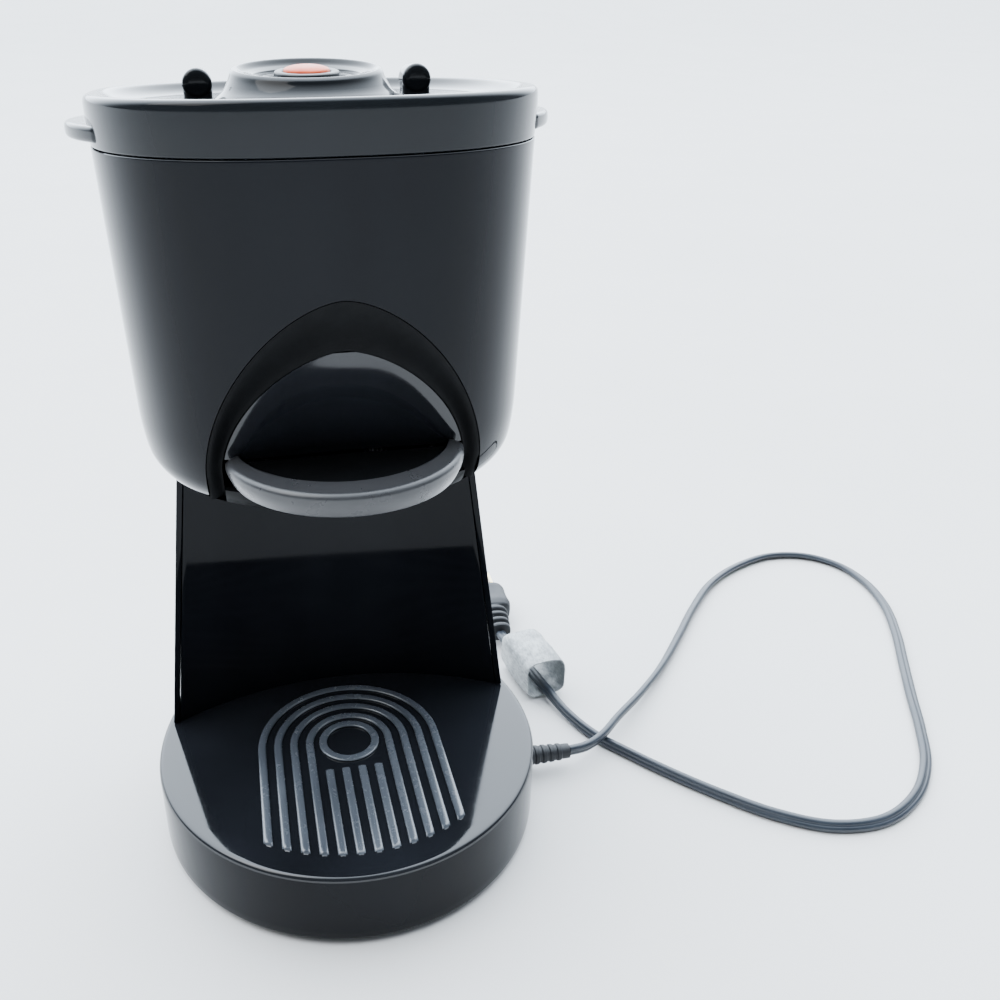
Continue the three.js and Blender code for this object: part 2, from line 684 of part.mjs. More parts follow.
function plugBody() {
  const rings = [];
  for (let n = 0; n < 4; n += 1) {
    const y = 0.4 + n * 5;
    const half = 5 + n * 0.7;
    rings.push(plugSection(y, half + 1.2, half + 0.6, 2.4), plugSection(y + 2.6, half + 1.4, half + 0.7, 2.4));
    rings.push(plugSection(y + 2.9, half - 0.4, half - 0.6, 2.4), plugSection(y + 4.7, half - 0.2, half - 0.5, 2.4));
  }
  rings.push(
    plugSection(21, 10.5, 7.2, 3), plugSection(24, 12, 8, 3.2), plugSection(40, 12, 8, 3.2),
    plugSection(44, 11, 7.6, 3.2), plugSection(45, 10, 6.8, 3.2));
  return skin(rings);
}

const plugBlade = (x) => block([x - 0.75, x + 0.75], [45.3, 62], [-3.2, 3.2]);

const cordLabel = () => cut(
  skin([plugSection(-16, 11.8, 11, 3), plugSection(16, 11.8, 11, 3)]),
  skin([plugSection(-17, 11, 10.2, 3), plugSection(17, 11, 10.2, 3)]));

// ---- assembly -----------------------------------------------------------------------------------
const finishes = {
  glossBlack: { color: 0x15171b, roughness: 0.16, metalness: 0 },
  satinBlack: { color: 0x191a1d, roughness: 0.42, metalness: 0 },
  innerBlack: { color: 0x222326, roughness: 0.6, metalness: 0 },
  rubber: { color: 0x1c1c1c, roughness: 0.85, metalness: 0 },
  grey: { color: 0x6e7175, roughness: 0.45, metalness: 0 },
  amber: { color: 0xd8542a, roughness: 0.3, metalness: 0 },
  clear: { color: 0xdfe6ea, roughness: 0.1, metalness: 0 },
  silicone: { color: 0xb9bcbc, roughness: 0.7, metalness: 0 },
  aluminium: { color: 0xb4b7ba, roughness: 0.35, metalness: 1 },
  steel: { color: 0x9b9da0, roughness: 0.3, metalness: 1 },
  brass: { color: 0xb79a55, roughness: 0.3, metalness: 1 },
  cord: { color: 0x1f252d, roughness: 0.5, metalness: 0 },
  paper: { color: 0xc9cfd2, roughness: 0.8, metalness: 0 },
};

const machine = new THREE.Group();

function add(name, solid, finish, parent = machine) {
  const mesh = new THREE.Mesh(geometryOf(solid), new THREE.MeshStandardMaterial(finishes[finish]));
  mesh.name = name;
  parent.add(mesh);
}

function placedGroup(at, degrees) {
  const group = new THREE.Group();
  group.position.copy(at);
  group.rotation.z = THREE.MathUtils.degToRad(degrees);
  machine.add(group);
  return group;
}

add('base_shell', baseShell(), 'glossBlack');
add('base_cover', baseCover(), 'satinBlack');
const corners = ['front_left', 'front_right', 'rear_left', 'rear_right'];
corners.forEach((corner, i) => {
  add(`foot_${corner}`, foot(footSpots[i]), 'rubber');
  add(`base_screw_${corner}`, baseScrew(screwSpots[i]), 'steel');
});
add('terminal_block', terminalBlock(), 'silicone');
add('rear_shell', rearShell(), 'glossBlack');
add('column_front', columnFront(), 'glossBlack');
add('wiring_loom', wiringLoom(), 'rubber');
add('supply_lead', supplyLead(), 'cord');

add('head_shell', headShell(), 'glossBlack');
add('arch_bezel', archBezel(), 'satinBlack');
add('scoop_panel', scoopPanel(), 'glossBlack');
add('tank', tank(), 'innerBlack');
add('heater_plate', heaterPlate(), 'aluminium');
add('heating_element', heatingElement(), 'steel');
add('thermostat', thermostat(), 'aluminium');
add('thermal_fuse', thermalFuse(), 'silicone');
add('switch_body', switchBody(), 'innerBlack');
add('indicator_lamp', indicatorLamp(), 'clear');
add('light_rod', lightRod(), 'clear');

add('valve_body', valveBody(), 'innerBlack');
add('valve_plunger', valvePlunger(), 'silicone');
add('valve_seal', valveSeal(), 'silicone');
add('valve_spring', valveSpring(), 'steel');
add('spout', spout(), 'satinBlack');
add('dispense_bar', dispenseBar(), 'grey');
add('lever_arm', leverArm(), 'satinBlack');
add('lever_pin', leverPin(), 'steel');
add('lever_spring', leverSpring(), 'steel');

add('lid', lidShell(), 'glossBlack');
add('lid_gasket', lidGasket(), 'silicone');
add('lid_peg_left', lidPeg(-pegX), 'glossBlack');
add('lid_peg_right', lidPeg(pegX), 'glossBlack');
add('button_housing', buttonHousing(), 'glossBlack');
add('button_ring', buttonRing(), 'satinBlack');
add('heat_button', heatButton(), 'amber');
add('button_spring', buttonSpring(), 'steel');

add('strain_relief', strainRelief(), 'rubber');
add('power_cord', powerCord(), 'cord');
add('cord_label', cordLabel(), 'paper', placedGroup(labelCentre, labelTurn));
const plug = placedGroup(plugStart, plugTurn);
add('plug_body', plugBody(), 'rubber', plug);
add('plug_blade_left', plugBlade(-6.35), 'brass', plug);
add('plug_blade_right', plugBlade(6.35), 'brass', plug);

export default machine;
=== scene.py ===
"""Looks for a one-cup hot-water dispenser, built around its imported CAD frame.

Shapes are worked out in millimetres, +Z up, front of the machine towards -Y, and scaled to metres
as each mesh is made.
"""

import math

import bmesh
import bpy
from mathutils import Matrix, Vector, noise


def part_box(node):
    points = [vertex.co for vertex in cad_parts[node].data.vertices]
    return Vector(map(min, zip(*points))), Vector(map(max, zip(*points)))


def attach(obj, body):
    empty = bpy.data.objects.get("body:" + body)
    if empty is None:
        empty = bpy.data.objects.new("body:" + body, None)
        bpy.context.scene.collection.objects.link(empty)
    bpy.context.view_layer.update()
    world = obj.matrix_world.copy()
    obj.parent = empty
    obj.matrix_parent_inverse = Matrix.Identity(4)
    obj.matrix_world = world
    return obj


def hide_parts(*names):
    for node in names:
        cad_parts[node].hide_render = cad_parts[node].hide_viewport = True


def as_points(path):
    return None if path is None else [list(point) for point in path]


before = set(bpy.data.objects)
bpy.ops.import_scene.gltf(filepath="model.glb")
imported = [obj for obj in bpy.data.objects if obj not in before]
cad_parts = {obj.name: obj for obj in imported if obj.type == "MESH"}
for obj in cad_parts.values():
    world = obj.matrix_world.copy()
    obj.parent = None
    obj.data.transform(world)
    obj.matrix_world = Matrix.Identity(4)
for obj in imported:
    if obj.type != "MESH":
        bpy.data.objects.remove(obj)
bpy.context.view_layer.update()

MM = 0.001
OUTLINE_POWER = 2.5  # superellipse power of the head, lid, tank and column outlines
OUTLINE_STEPS = 176
WALL = 2.5
GAP = 0.3


def box_mm(node):
    """Lowest and highest corner of a CAD node at rest, in millimetres."""
    low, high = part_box(node)
    return [value / MM for value in low], [value / MM for value in high]


base_low, base_high = box_mm("base_shell")
head_low, head_high = box_mm("head_shell")
lid_low, lid_high = box_mm("lid")
column_low, column_high = box_mm("rear_shell")
scoop_low = box_mm("scoop_panel")[0]
bar_low, bar_high = box_mm("dispense_bar")
peg_low, peg_high = box_mm("lid_peg_right")
rod_low, rod_high = box_mm("light_rod")

RIB_HEIGHT = 1.2
RIB_SINK = 0.15  # how far the ribs reach down into the plate
RIB_HALF_WIDTH = 1.8
RIB_PITCH = 6.9
RIB_MARGIN = 11  # from the ribs' front ends to the base's rim
BASE_RADIUS = base_high[0]
BASE_BOTTOM = base_low[2]
BASE_TOP = base_high[2] - RIB_HEIGHT
RIB_LOW = BASE_TOP - RIB_SINK
RIB_HIGH = BASE_TOP + RIB_HEIGHT
BASE_CENTRE_Y = base_low[1] + BASE_RADIUS
BASE_REAR_DEPTH = base_high[1] - BASE_CENTRE_Y
RING_Y = -13.5  # the drip ring, the valve and the spout share this axis

COLUMN_CENTRE_Y = 13
COLUMN_BOTTOM = column_low[2]
COLUMN_TOP = column_high[2] + 2.4  # reaches up under the rounding of the head's floor
COLUMN_HALF = (76.5, 60.5)  # half-widths where the column meets the base and the head
COLUMN_REAR = (66, 60)
COLUMN_FRONT = 40
BAY_RADIUS = 144  # the concave wall behind the cup
BAY_CENTRE_Y = 35 - BAY_RADIUS

HEAD_CENTRE_Y = 13.5
HEAD_BOTTOM = head_low[2]
HEAD_TOP = head_high[2]
HEAD_HALF_AT_TOP = head_high[0]
HEAD_FRONT_AT_TOP = HEAD_CENTRE_Y - head_low[1]
HEAD_REAR_AT_TOP = head_high[1] - HEAD_CENTRE_Y
HEAD_TAPER = 0.036
HEAD_TUCK_START = 195  # below this height the sides draw in faster
HEAD_TUCK_SPAN = 23
HEAD_TUCK_DEPTH = 2.7
HEAD_FLOOR = HEAD_BOTTOM + WALL
HEAD_BOTTOM_ROUND = 14
SPOUT_HOLE = 8.4  # radius of the hole for the spout in the head's floor
LIP_TOP = 179.6  # the head's wall stands this high under the dispense bar
LIP_REAR_Y = -38

LID_BOTTOM = lid_low[2]
LID_TOP = lid_high[2]
LID_PLATE_TOP = LID_TOP - 4.4
LUG_REACH = lid_high[0]
LUG_FRONT = 74
LUG_REAR = 66
PEG_X = (peg_low[0] + peg_high[0]) / 2
PEG_Y = (peg_low[1] + peg_high[1]) / 2
PEG_Z = 299.8

ARCH_HALF = 46
ARCH_TOP = 243
ARCH_INNER_HALF = 41
ARCH_INNER_TOP = 226
ARCH_SPRING = 184
ARCH_POWER = 1.7
ARCH_FOOT = HEAD_FLOOR + 1
ARCH_STEPS = 96
SCOOP_CLEAR = 0.5  # from the frame's inner edge to the dished panel
SCOOP_BOTTOM = scoop_low[2]
SCOOP_EDGE_DEPTH = 6
SCOOP_DISH = 8  # how much deeper the panel's middle is than its edge, at the bottom

ROD_Y = (rod_low[1] + rod_high[1]) / 2  # the light rod and the button housing share this axis
PIVOT_Y = -45
PIVOT_Z = 184
RIM_TILT = 0.106  # forward fall of the button housing's rim, mm per mm
TIP_FROM = 296  # the housing starts to lean at this height
TIP_SPAN = 8

CORD_WIDTH = 5.6
CORD_LOBE_RADIUS = 1.75  # the flat twin cord is two of these side by side
CORD_LOBE_REACH = CORD_WIDTH / 2 - CORD_LOBE_RADIUS
CORD_SETTLE = 30  # along this much of each end the cord sinks to its own lower line
CORD_EXIT = (104, -8.5, 8.8)
LABEL_CENTRE = (107, 59, 11.6)
LABEL_TURN = 9
PLUG_START = (99, 94, 8.4)
PLUG_TURN = -2

# ---- camera and light ----

CAMERA_PLACE = (-30.6, -343, 312)
CAMERA_PAN = -9.5  # to its right, in degrees, from looking along +Y
CAMERA_PITCH = 25.8  # down
CAMERA_ROLL = -1.0
CAMERA_FILM = 36
CAMERA_LENS = 34.2
CAMERA_SHIFT = 0.1
KEY_PLACE = (-1.0, -0.3, 1.6)  # in metres, like its target and its size
KEY_TARGET = (0, 0, 0.15)
KEY_SIZE = 1.1
KEY_WATTS = 16
KEY_COLOUR = (1.0, 0.98, 0.95)
BRIGHT_SIDE = (0, 0.64, 0.77)  # the middle of the bright part of the sky
SKY_EDGE = 0.28  # cosine of the angle from there at which the brightness starts
SKY_FULL = 0.90  # and at which it is full
SKY_DIM = 0.42
SKY_BRIGHT = 11.5
SKY_COLOUR = (0.79, 0.89, 1.0, 1)


def added(name, data):
    """A new object in the scene that shows a mesh, camera or lamp."""
    obj = bpy.data.objects.new(name, data)
    bpy.context.scene.collection.objects.link(obj)
    return obj


def make_camera():
    data = bpy.data.cameras.new("camera")
    camera = added("camera", data)
    camera.location = Vector(CAMERA_PLACE) * MM
    turn = Matrix.Identity(3)
    for degrees, axis in ((CAMERA_PAN, "Z"), (90 - CAMERA_PITCH, "X"), (CAMERA_ROLL, "Z")):
        turn = turn @ Matrix.Rotation(math.radians(degrees), 3, axis)
    camera.rotation_euler = turn.to_euler()
    data.sensor_width = CAMERA_FILM
    data.lens = CAMERA_LENS
    data.shift_x = CAMERA_SHIFT
    bpy.context.scene.camera = camera


def make_key_light():
    data = bpy.data.lights.new("key", "AREA")
    data.shape = "RECTANGLE"
    data.size = KEY_SIZE
    data.size_y = KEY_SIZE
    data.energy = KEY_WATTS
    data.color = KEY_COLOUR
    light = added("key", data)
    light.location = KEY_PLACE
    light.rotation_euler = (Vector(KEY_TARGET) - Vector(KEY_PLACE)).to_track_quat("-Z", "Y").to_euler()


class Nodes:
    """The node tree of a world or material, with one call that adds a node."""

    def __init__(self, owner):
        owner.use_nodes = True
        self.owner = owner
        self.tree = owner.node_tree

    def feed(self, target, source):
        """Links an input to a node's output, or gives it a value."""
        if isinstance(source, bpy.types.NodeSocket):
            self.tree.links.new(source, target)
        else:
            target.default_value = source

    def new(self, kind, output, inputs, **settings):
        node = self.tree.nodes.new(kind)
        for key, value in settings.items():
            setattr(node, key, value)
        for key, source in inputs.items():
            self.feed(node.inputs[key], source)
        return node.outputs[output]

    def spread(self, source, low, high, start=0.3, end=0.7, **settings):
        """Maps a source's start..end to low..high, clamped."""
        return self.new("ShaderNodeMapRange", "Result", {
            "Value": source, "From Min": start, "From Max": end, "To Min": low, "To Max": high}, **settings)


def make_world():
    """A pale sky that is bright above and behind the machine, and dim towards its front."""
    world = bpy.data.worlds.new("studio")
    n = Nodes(world)
    place = n.new("ShaderNodeTexCoord", "Generated", {})
    towards = n.new("ShaderNodeVectorMath", "Value", {0: place, 1: BRIGHT_SIDE}, operation="DOT_PRODUCT")
    strength = n.spread(towards, SKY_DIM, SKY_BRIGHT, SKY_EDGE, SKY_FULL, interpolation_type="SMOOTHSTEP")
    background = n.tree.nodes["Background"]
    n.feed(background.inputs["Strength"], strength)
    n.feed(background.inputs["Color"], SKY_COLOUR)
    bpy.context.scene.world = world


make_camera()
make_world()
make_key_light()

# ---- materials ----


class Finish(Nodes):
    """A material's nodes, with short calls for the textures that every finish here uses."""

    def __init__(self, name):
        super().__init__(bpy.data.materials.new(name))
        self.place = self.new("ShaderNodeTexCoord", "Object", {})

    def noise(self, size_mm, detail=3, roughness=0.55, stretch=(1, 1, 1)):
        place = self.new("ShaderNodeMapping", "Vector", {"Scale": stretch, "Vector": self.place})
        return self.new("ShaderNodeTexNoise", "Fac", {
            "Scale": 1 / (size_mm * MM), "Detail": detail, "Roughness": roughness, "Vector": place})

    def cells(self, size_mm, feature="F1"):
        return self.new("ShaderNodeTexVoronoi", "Distance", {
            "Scale": 1 / (size_mm * MM), "Vector": self.place}, feature=feature)

    def add(self, first, second):
        return self.new("ShaderNodeMath", "Value", {0: first, 1: second}, operation="ADD")

    def made(self, colour, rough, *bumps, **settings):
        """The material. Its colour is a source with a dark and a light tone, its roughness a source with a
        low and a high value, and each bump a source of height with a depth in mm."""
        source, dark, light, *ends = colour
        settings["Base_Color"] = self.new("ShaderNodeMix", "Result", {
            "Factor": self.spread(source, 0, 1, *ends), "A": (*dark, 1), "B": (*light, 1)}, data_type="RGBA")
        settings["Roughness"] = self.spread(*rough) if isinstance(rough, tuple) else rough
        for height, depth_mm in bumps:
            under = {"Normal": settings["Normal"]} if "Normal" in settings else {}
            settings["Normal"] = self.new("ShaderNodeBump", "Normal", {
                "Distance": depth_mm * MM, "Height": height, **under})
        shader = self.tree.nodes["Principled BSDF"]
        for key, value in settings.items():
            self.feed(shader.inputs[key.replace("_", " ")], value)
        return self.owner


def gloss_plastic(name, dark, light, rough, specular):
    """Polished moulding: faint flow marks, a few fine rub marks, and thin dust in the roughness."""
    n = Finish(name)
    flow = n.noise(46, detail=2, stretch=(1, 1, 0.35))
    rubs = n.noise(5, detail=6, roughness=0.7, stretch=(1, 1, 7))
    worn = n.add(n.spread(rubs, 0, 0.05, 0.52, 0.72), n.spread(n.cells(1.7), 0.05, 0, 0.05, 0.16))
    return n.made((flow, dark, light), n.add(n.spread(flow, rough, rough + 0.03), worn),
                  (flow, 0.05), (n.noise(1.1, detail=2), 0.0012), IOR=1.46, Specular_IOR_Level=specular)


def satin_plastic(name, dark, light, rough, grain_mm=0.45, depth=0.012):
    """Spark-eroded moulding: a fine pebble grain over slow colour drift."""
    n = Finish(name)
    return n.made((n.noise(24, detail=4), dark, light), (n.noise(7, detail=4), rough - 0.05, rough + 0.07),
                  (n.cells(grain_mm, feature="SMOOTH_F1"), depth), IOR=1.48)


def frame_plastic():
    """The dull frame round the scoop: an eroded face that hardly shines."""
    n = Finish("frame_plastic")
    return n.made((n.noise(18, detail=4), (0.0012, 0.0013, 0.0016), (0.0022, 0.0025, 0.0030)),
                  (n.noise(5, detail=4), 0.5, 0.62), (n.cells(0.5, feature="SMOOTH_F1"), 0.02),
                  Specular_IOR_Level=0.09)


def rubber(name, dark, light, rough):
    n = Finish(name)
    bloom = n.noise(9, detail=5, roughness=0.65)
    return n.made((bloom, dark, light), (bloom, rough - 0.08, rough + 0.08),
                  (n.noise(0.7, detail=3), 0.02), IOR=1.5, Specular_IOR_Level=0.4)


def metal(name, dark, light, rough, brush=(1, 1, 14)):
    n = Finish(name)
    lines = n.noise(3.2, detail=6, roughness=0.7, stretch=brush)
    return n.made((lines, dark, light), (lines, rough - 0.06, rough + 0.1), (lines, 0.006), Metallic=1.0)


def clear_plastic(name, dark, light, rough):
    n = Finish(name)
    haze = n.noise(6, detail=4)
    return n.made((haze, dark, light), (haze, rough, rough + 0.08), (n.noise(2, detail=2), 0.004),
                  Transmission_Weight=0.8, IOR=1.49)


def lens_plastic():
    """The lit button's cloudy orange-red cap."""
    n = Finish("lens_plastic")
    cloud = n.noise(5, detail=4)
    return n.made((cloud, (0.62, 0.075, 0.025), (0.78, 0.15, 0.06)), (cloud, 0.3, 0.42),
                  (n.noise(1.4, detail=3), 0.01),
                  Subsurface_Weight=0.2, Subsurface_Scale=0.003, Specular_IOR_Level=0.12)


def cord_jacket():
    """Vinyl flex: slight scuffs, a fine grain and a blue-black tone."""
    n = Finish("cord_jacket")
    scuff = n.noise(14, detail=5, roughness=0.6)
    return n.made((scuff, (0.011, 0.016, 0.024), (0.022, 0.029, 0.041)), (scuff, 0.3, 0.44),
                  (n.noise(0.9, detail=3), 0.012), (scuff, 0.05), IOR=1.52)


def label_paper():
    """Coated tag stock: pale blue-grey, mottled fibre, creased, slightly rubbed."""
    n = Finish("label_paper")
    fibre = n.noise(1.2, detail=6, roughness=0.7, stretch=(1, 0.4, 1))
    stain = n.noise(11, detail=4)
    mottle = n.new("ShaderNodeMath", "Value", {0: stain, 1: fibre}, operation="MULTIPLY")
    return n.made((mottle, (0.12, 0.13, 0.135), (0.42, 0.44, 0.44), 0.12, 0.34), (stain, 0.45, 0.62),
                  (n.cells(7, feature="DISTANCE_TO_EDGE"), 0.12), (fibre, 0.03),
                  Coat_Weight=0.2, Coat_Roughness=0.3)


GLOSS = gloss_plastic("gloss_plastic", (0.0030, 0.0034, 0.0046), (0.0052, 0.0058, 0.0076), 0.045, 0.11)
GLOSS_LID = gloss_plastic("gloss_lid_plastic", (0.0048, 0.0058, 0.0070), (0.0080, 0.0094, 0.0112), 0.06, 0.2)
GLOSS_BASE = gloss_plastic("gloss_base_plastic", (0.0052, 0.0058, 0.0072), (0.0085, 0.0095, 0.012), 0.05, 0.5)
# The ribs' crowns: a rougher finish, and a colour far lighter than the black plastic that is a painted
# highlight standing in for the sky's reflection along them.
RIB_PAINTED_HIGHLIGHT = gloss_plastic("worn_rib_plastic", (0.040, 0.046, 0.056), (0.075, 0.085, 0.100), 0.24, 0.9)
SATIN = satin_plastic("satin_plastic", (0.008, 0.0085, 0.010), (0.014, 0.015, 0.018), 0.4)
INNER = satin_plastic("inner_plastic", (0.015, 0.0155, 0.017), (0.022, 0.023, 0.025), 0.55, 0.7, 0.02)
FRAME = frame_plastic()
BAR_GREY = satin_plastic("bar_plastic", (0.024, 0.024, 0.026), (0.031, 0.031, 0.033), 0.30, 0.35, 0.004)
RUBBER = rubber("black_rubber", (0.009, 0.0095, 0.011), (0.016, 0.017, 0.020), 0.55)
SILICONE = rubber("silicone", (0.42, 0.43, 0.42), (0.52, 0.53, 0.52), 0.6)
ALUMINIUM = metal("aluminium", (0.50, 0.51, 0.53), (0.64, 0.65, 0.67), 0.38, (1, 1, 1))
STEEL = metal("steel", (0.42, 0.43, 0.44), (0.58, 0.59, 0.60), 0.28)
BRASS = metal("plated_brass", (0.62, 0.50, 0.28), (0.76, 0.64, 0.40), 0.24, (1, 10, 1))
CLEAR = clear_plastic("clear_plastic", (0.86, 0.90, 0.92), (0.9288, 0.972, 0.9936), 0.06)
LENS = lens_plastic()
JACKET = cord_jacket()
PAPER = label_paper()

# ---- mesh helpers ----


class Shape:
    """Points in millimetres and the faces between them, gathered before a mesh is made."""

    def __init__(self):
        self.points = []
        self.faces = []

    def add(self, points, faces):
        start = len(self.points)
        self.points.extend(points)
        self.faces.extend([tuple(start + i for i in face) for face in faces])
        return self

    def join(self, other):
        return self.add(other.points, other.faces)

    def loft(self, rings, round_trip=False):
        """Joins equal rings of points; the ends are capped, or joined to each other."""
        count = len(rings[0])
        faces = []
        spans = len(rings) if round_trip else len(rings) - 1
        for r in range(spans):
            here, there = r * count, (r + 1) % len(rings) * count
            for i in range(count):
                j = (i + 1) % count
                faces.append((here + i, here + j, there + j, there + i))
        if not round_trip:
            faces.append(tuple(reversed(range(count))))
            faces.append(tuple(range((len(rings) - 1) * count, len(rings) * count)))
        return self.add([point for ring in rings for point in ring], faces)

    def move(self, change):
        self.points = [change(point) for point in self.points]
        return self

    def mesh(self, name):
        mesh = bpy.data.meshes.new(name)
        mesh.from_pydata([tuple(value * MM for value in point) for point in self.points], [], self.faces)
        mesh.validate()
        return mesh


def modified(obj, kind, **values):
    modifier = obj.modifiers.new(kind.lower(), kind)
    for key, value in values.items():
        setattr(modifier, key, value)


def outward(obj):
    """Makes every face look outwards."""
    work = bmesh.new()
    work.from_mesh(obj.data)
    bmesh.ops.remove_doubles(work, verts=work.verts, dist=1e-7)
    bmesh.ops.recalc_face_normals(work, faces=work.faces)
    work.to_mesh(obj.data)
    work.free()


def solid(name, shape):
    obj = added(name, shape.mesh(name))
    outward(obj)
    return obj


def piece(name, shape, body, node, material, bevel=0, cutters=(), angle=32):
    """A finished visual piece that stands for a CAD node and rides on its body."""
    obj = solid(name, shape)
    for cutter in cutters:
        modified(obj, "BOOLEAN", operation="DIFFERENCE", solver="EXACT", object=cutter)
    if bevel:
        modified(obj, "BEVEL", width=bevel * MM, segments=3, limit_method="ANGLE",
                 angle_limit=math.radians(angle))
    if cutters or bevel:
        bpy.context.view_layer.update()
        evaluated = obj.evaluated_get(bpy.context.evaluated_depsgraph_get())
        mesh = bpy.data.meshes.new_from_object(evaluated)
        obj.modifiers.clear()
        obj.data = mesh
    for cutter in cutters:
        bpy.data.objects.remove(cutter)
    obj.data.materials.clear()
    obj.data.materials.append(material)
    obj.data.shade_smooth()
    obj.data.set_sharp_from_angle(angle=math.radians(angle))
    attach(obj, body)
    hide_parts(node)
    return obj


NEARLY_HALF = 0.49  # two roundings on one side of a line don't meet
OUTLINE_FINENESS = 6  # steps along an outline for each point that is kept of it


def eased(corners, steps=6):
    """A line through corners (a, b, cut): each corner is rounded from that distance before it to
    that distance after it."""
    line = []
    last = len(corners) - 1
    for i, (a, b, cut) in enumerate(corners):
        here = Vector((a, b))
        if not cut or i in (0, last):
            line.append((a, b))
            continue
        ends = []
        for other in (corners[i - 1], corners[i + 1]):
            step = Vector(other[:2]) - here
            ends.append(here + step.normalized() * min(cut, step.length * NEARLY_HALF))
        for k in range(steps + 1):
            t = k / steps
            spot = ends[0] * (1 - t) ** 2 + here * 2 * t * (1 - t) + ends[1] * t ** 2
            line.append((spot.x, spot.y))
    return line


def cos_sin(steps):
    """The cosine and sine of equal steps round a circle."""
    for i in range(steps):
        angle = 2 * math.pi * i / steps
        yield math.cos(angle), math.sin(angle)


def bulged(value, power):
    """A cosine or sine, bent so that the circle becomes a superellipse of that power."""
    return math.copysign(abs(value) ** (2 / power), value)


def superellipse(z, half, front, rear, centre_y, power=OUTLINE_POWER, steps=OUTLINE_STEPS):
    """A ring of evenly spaced points; front and rear depths may differ."""
    ring = []
    for c, s in cos_sin(steps * OUTLINE_FINENESS):
        depth = front if s < 0 else rear
        ring.append(Vector((half * bulged(c, power), centre_y + depth * bulged(s, power), z)))
    return evenly([*ring, ring[0]], steps, steps)


def lengths_along(line):
    lengths = [0.0]
    for a, b in zip(line, line[1:]):
        lengths.append(lengths[-1] + (b - a).length)
    return lengths


def evenly(line, spaces, count):
    """The first points, as many as count, of a line shared out into equal spaces."""
    lengths = lengths_along(line)
    spots = []
    i = 0
    for k in range(count):
        want = lengths[-1] * k / spaces
        while i < len(line) - 2 and lengths[i + 1] < want:
            i += 1
        share = min(1.0, (want - lengths[i]) / max(1e-9, lengths[i + 1] - lengths[i]))
        spots.append(tuple(line[i].lerp(line[i + 1], share)))
    return spots


def turned(profile, at, steps, axis="z"):
    """A turned piece from (radius, height) pairs; a pair on the axis becomes one point."""
    faces, points, rows = [], [], []
    for radius, height in profile:
        if abs(radius) < 1e-6:
            rows.append([len(points)])
            points.append((0, 0, height))
            continue
        rows.append(list(range(len(points), len(points) + steps)))
        points.extend((radius * c, radius * s, height) for c, s in cos_sin(steps))
    for one, two in zip(rows, rows[1:]):
        for i in range(steps):
            j = (i + 1) % steps
            if len(one) == 1 and len(two) > 1:
                faces.append((one[0], two[i], two[j]))
            elif len(two) == 1 and len(one) > 1:
                faces.append((one[i], one[j], two[0]))
            elif len(one) > 1:
                faces.append((one[i], one[j], two[j], two[i]))
    order = {"x": (2, 0, 1), "y": (1, 2, 0), "z": (0, 1, 2)}[axis]
    return Shape().add([tuple(point[k] + shift for k, shift in zip(order, at)) for point in points], faces)


def lerp(a, b, t):
    return a + (b - a) * t


def ease(t):
    t = max(0.0, min(1.0, t))
    return t * t * (3 - 2 * t)


# ---- cord, with its gland, tag and plug ----

CORD_ROUTE = [
    (104.3, -8.5, 8.8), (112, -7.5, 8.8), (119, -4.2, 8.8), (125.5, 0.6, 8.8), (136, 11, 8), (157, 31, 5.2),
    (179, 54, 3.2), (200, 79, 2.9), (222, 106, 2.9), (246, 131, 2.9), (273, 148, 2.9), (300, 156, 2.9),
    (322, 151, 2.9), (336, 136, 2.9), (340, 113, 2.9), (335, 86, 2.9), (323, 58, 2.9), (309, 32, 2.9),
    (295, 6, 2.9), (282, -19, 2.9), (268, -42, 2.9), (250, -60, 2.9), (227, -71, 2.9), (203, -70, 2.9),
    (182, -59, 2.9), (164, -43, 2.9), (148, -26, 2.9), (134, -9, 2.9), (123, 6, 2.9), (115, 24, 3.6),
    (110, 43, 5.4), (106.5, 62, 5.5), (102.5, 78, 6.9), (99.6, 89, 8.2), (98.95, 93.6, 8.4),
]
# How far the flat cord is rolled from lying flat, in degrees, at equal steps along its route.
CORD_ROLL = [80, 70, 50, 35, 30, 15, 10, 25, 50, 75, 80, 0]


def through(points, steps=8):
    """A centripetal Catmull-Rom line through points."""
    points = [Vector(point) for point in points]
    ends = [points[0] * 2 - points[1], *points, points[-1] * 2 - points[-2]]
    line = []
    for i in range(len(points) - 1):
        p = ends[i:i + 4]
        t = [0.0]
        for a, b in zip(p, p[1:]):
            t.append(t[-1] + (b - a).length ** 0.5)
        for k in range(steps):
            u = lerp(t[1], t[2], k / steps)
            a = [p[j] + (p[j + 1] - p[j]) * ((u - t[j]) / (t[j + 1] - t[j])) for j in range(3)]
            b = [a[j] + (a[j + 1] - a[j]) * ((u - t[j]) / (t[j + 2] - t[j])) for j in range(2)]
            line.append(b[0] + (b[1] - b[0]) * ((u - t[1]) / (t[2] - t[1])))
    line.append(points[-1])
    return line


def twin_section(sides=28):
    """The outline of two round cores side by side, with the groove between them."""
    ring = []
    for c, s in cos_sin(sides):
        radius = CORD_LOBE_REACH * abs(c) + math.sqrt(CORD_LOBE_RADIUS ** 2 - (CORD_LOBE_REACH * s) ** 2)
        ring.append((radius * c, radius * s))
    return ring


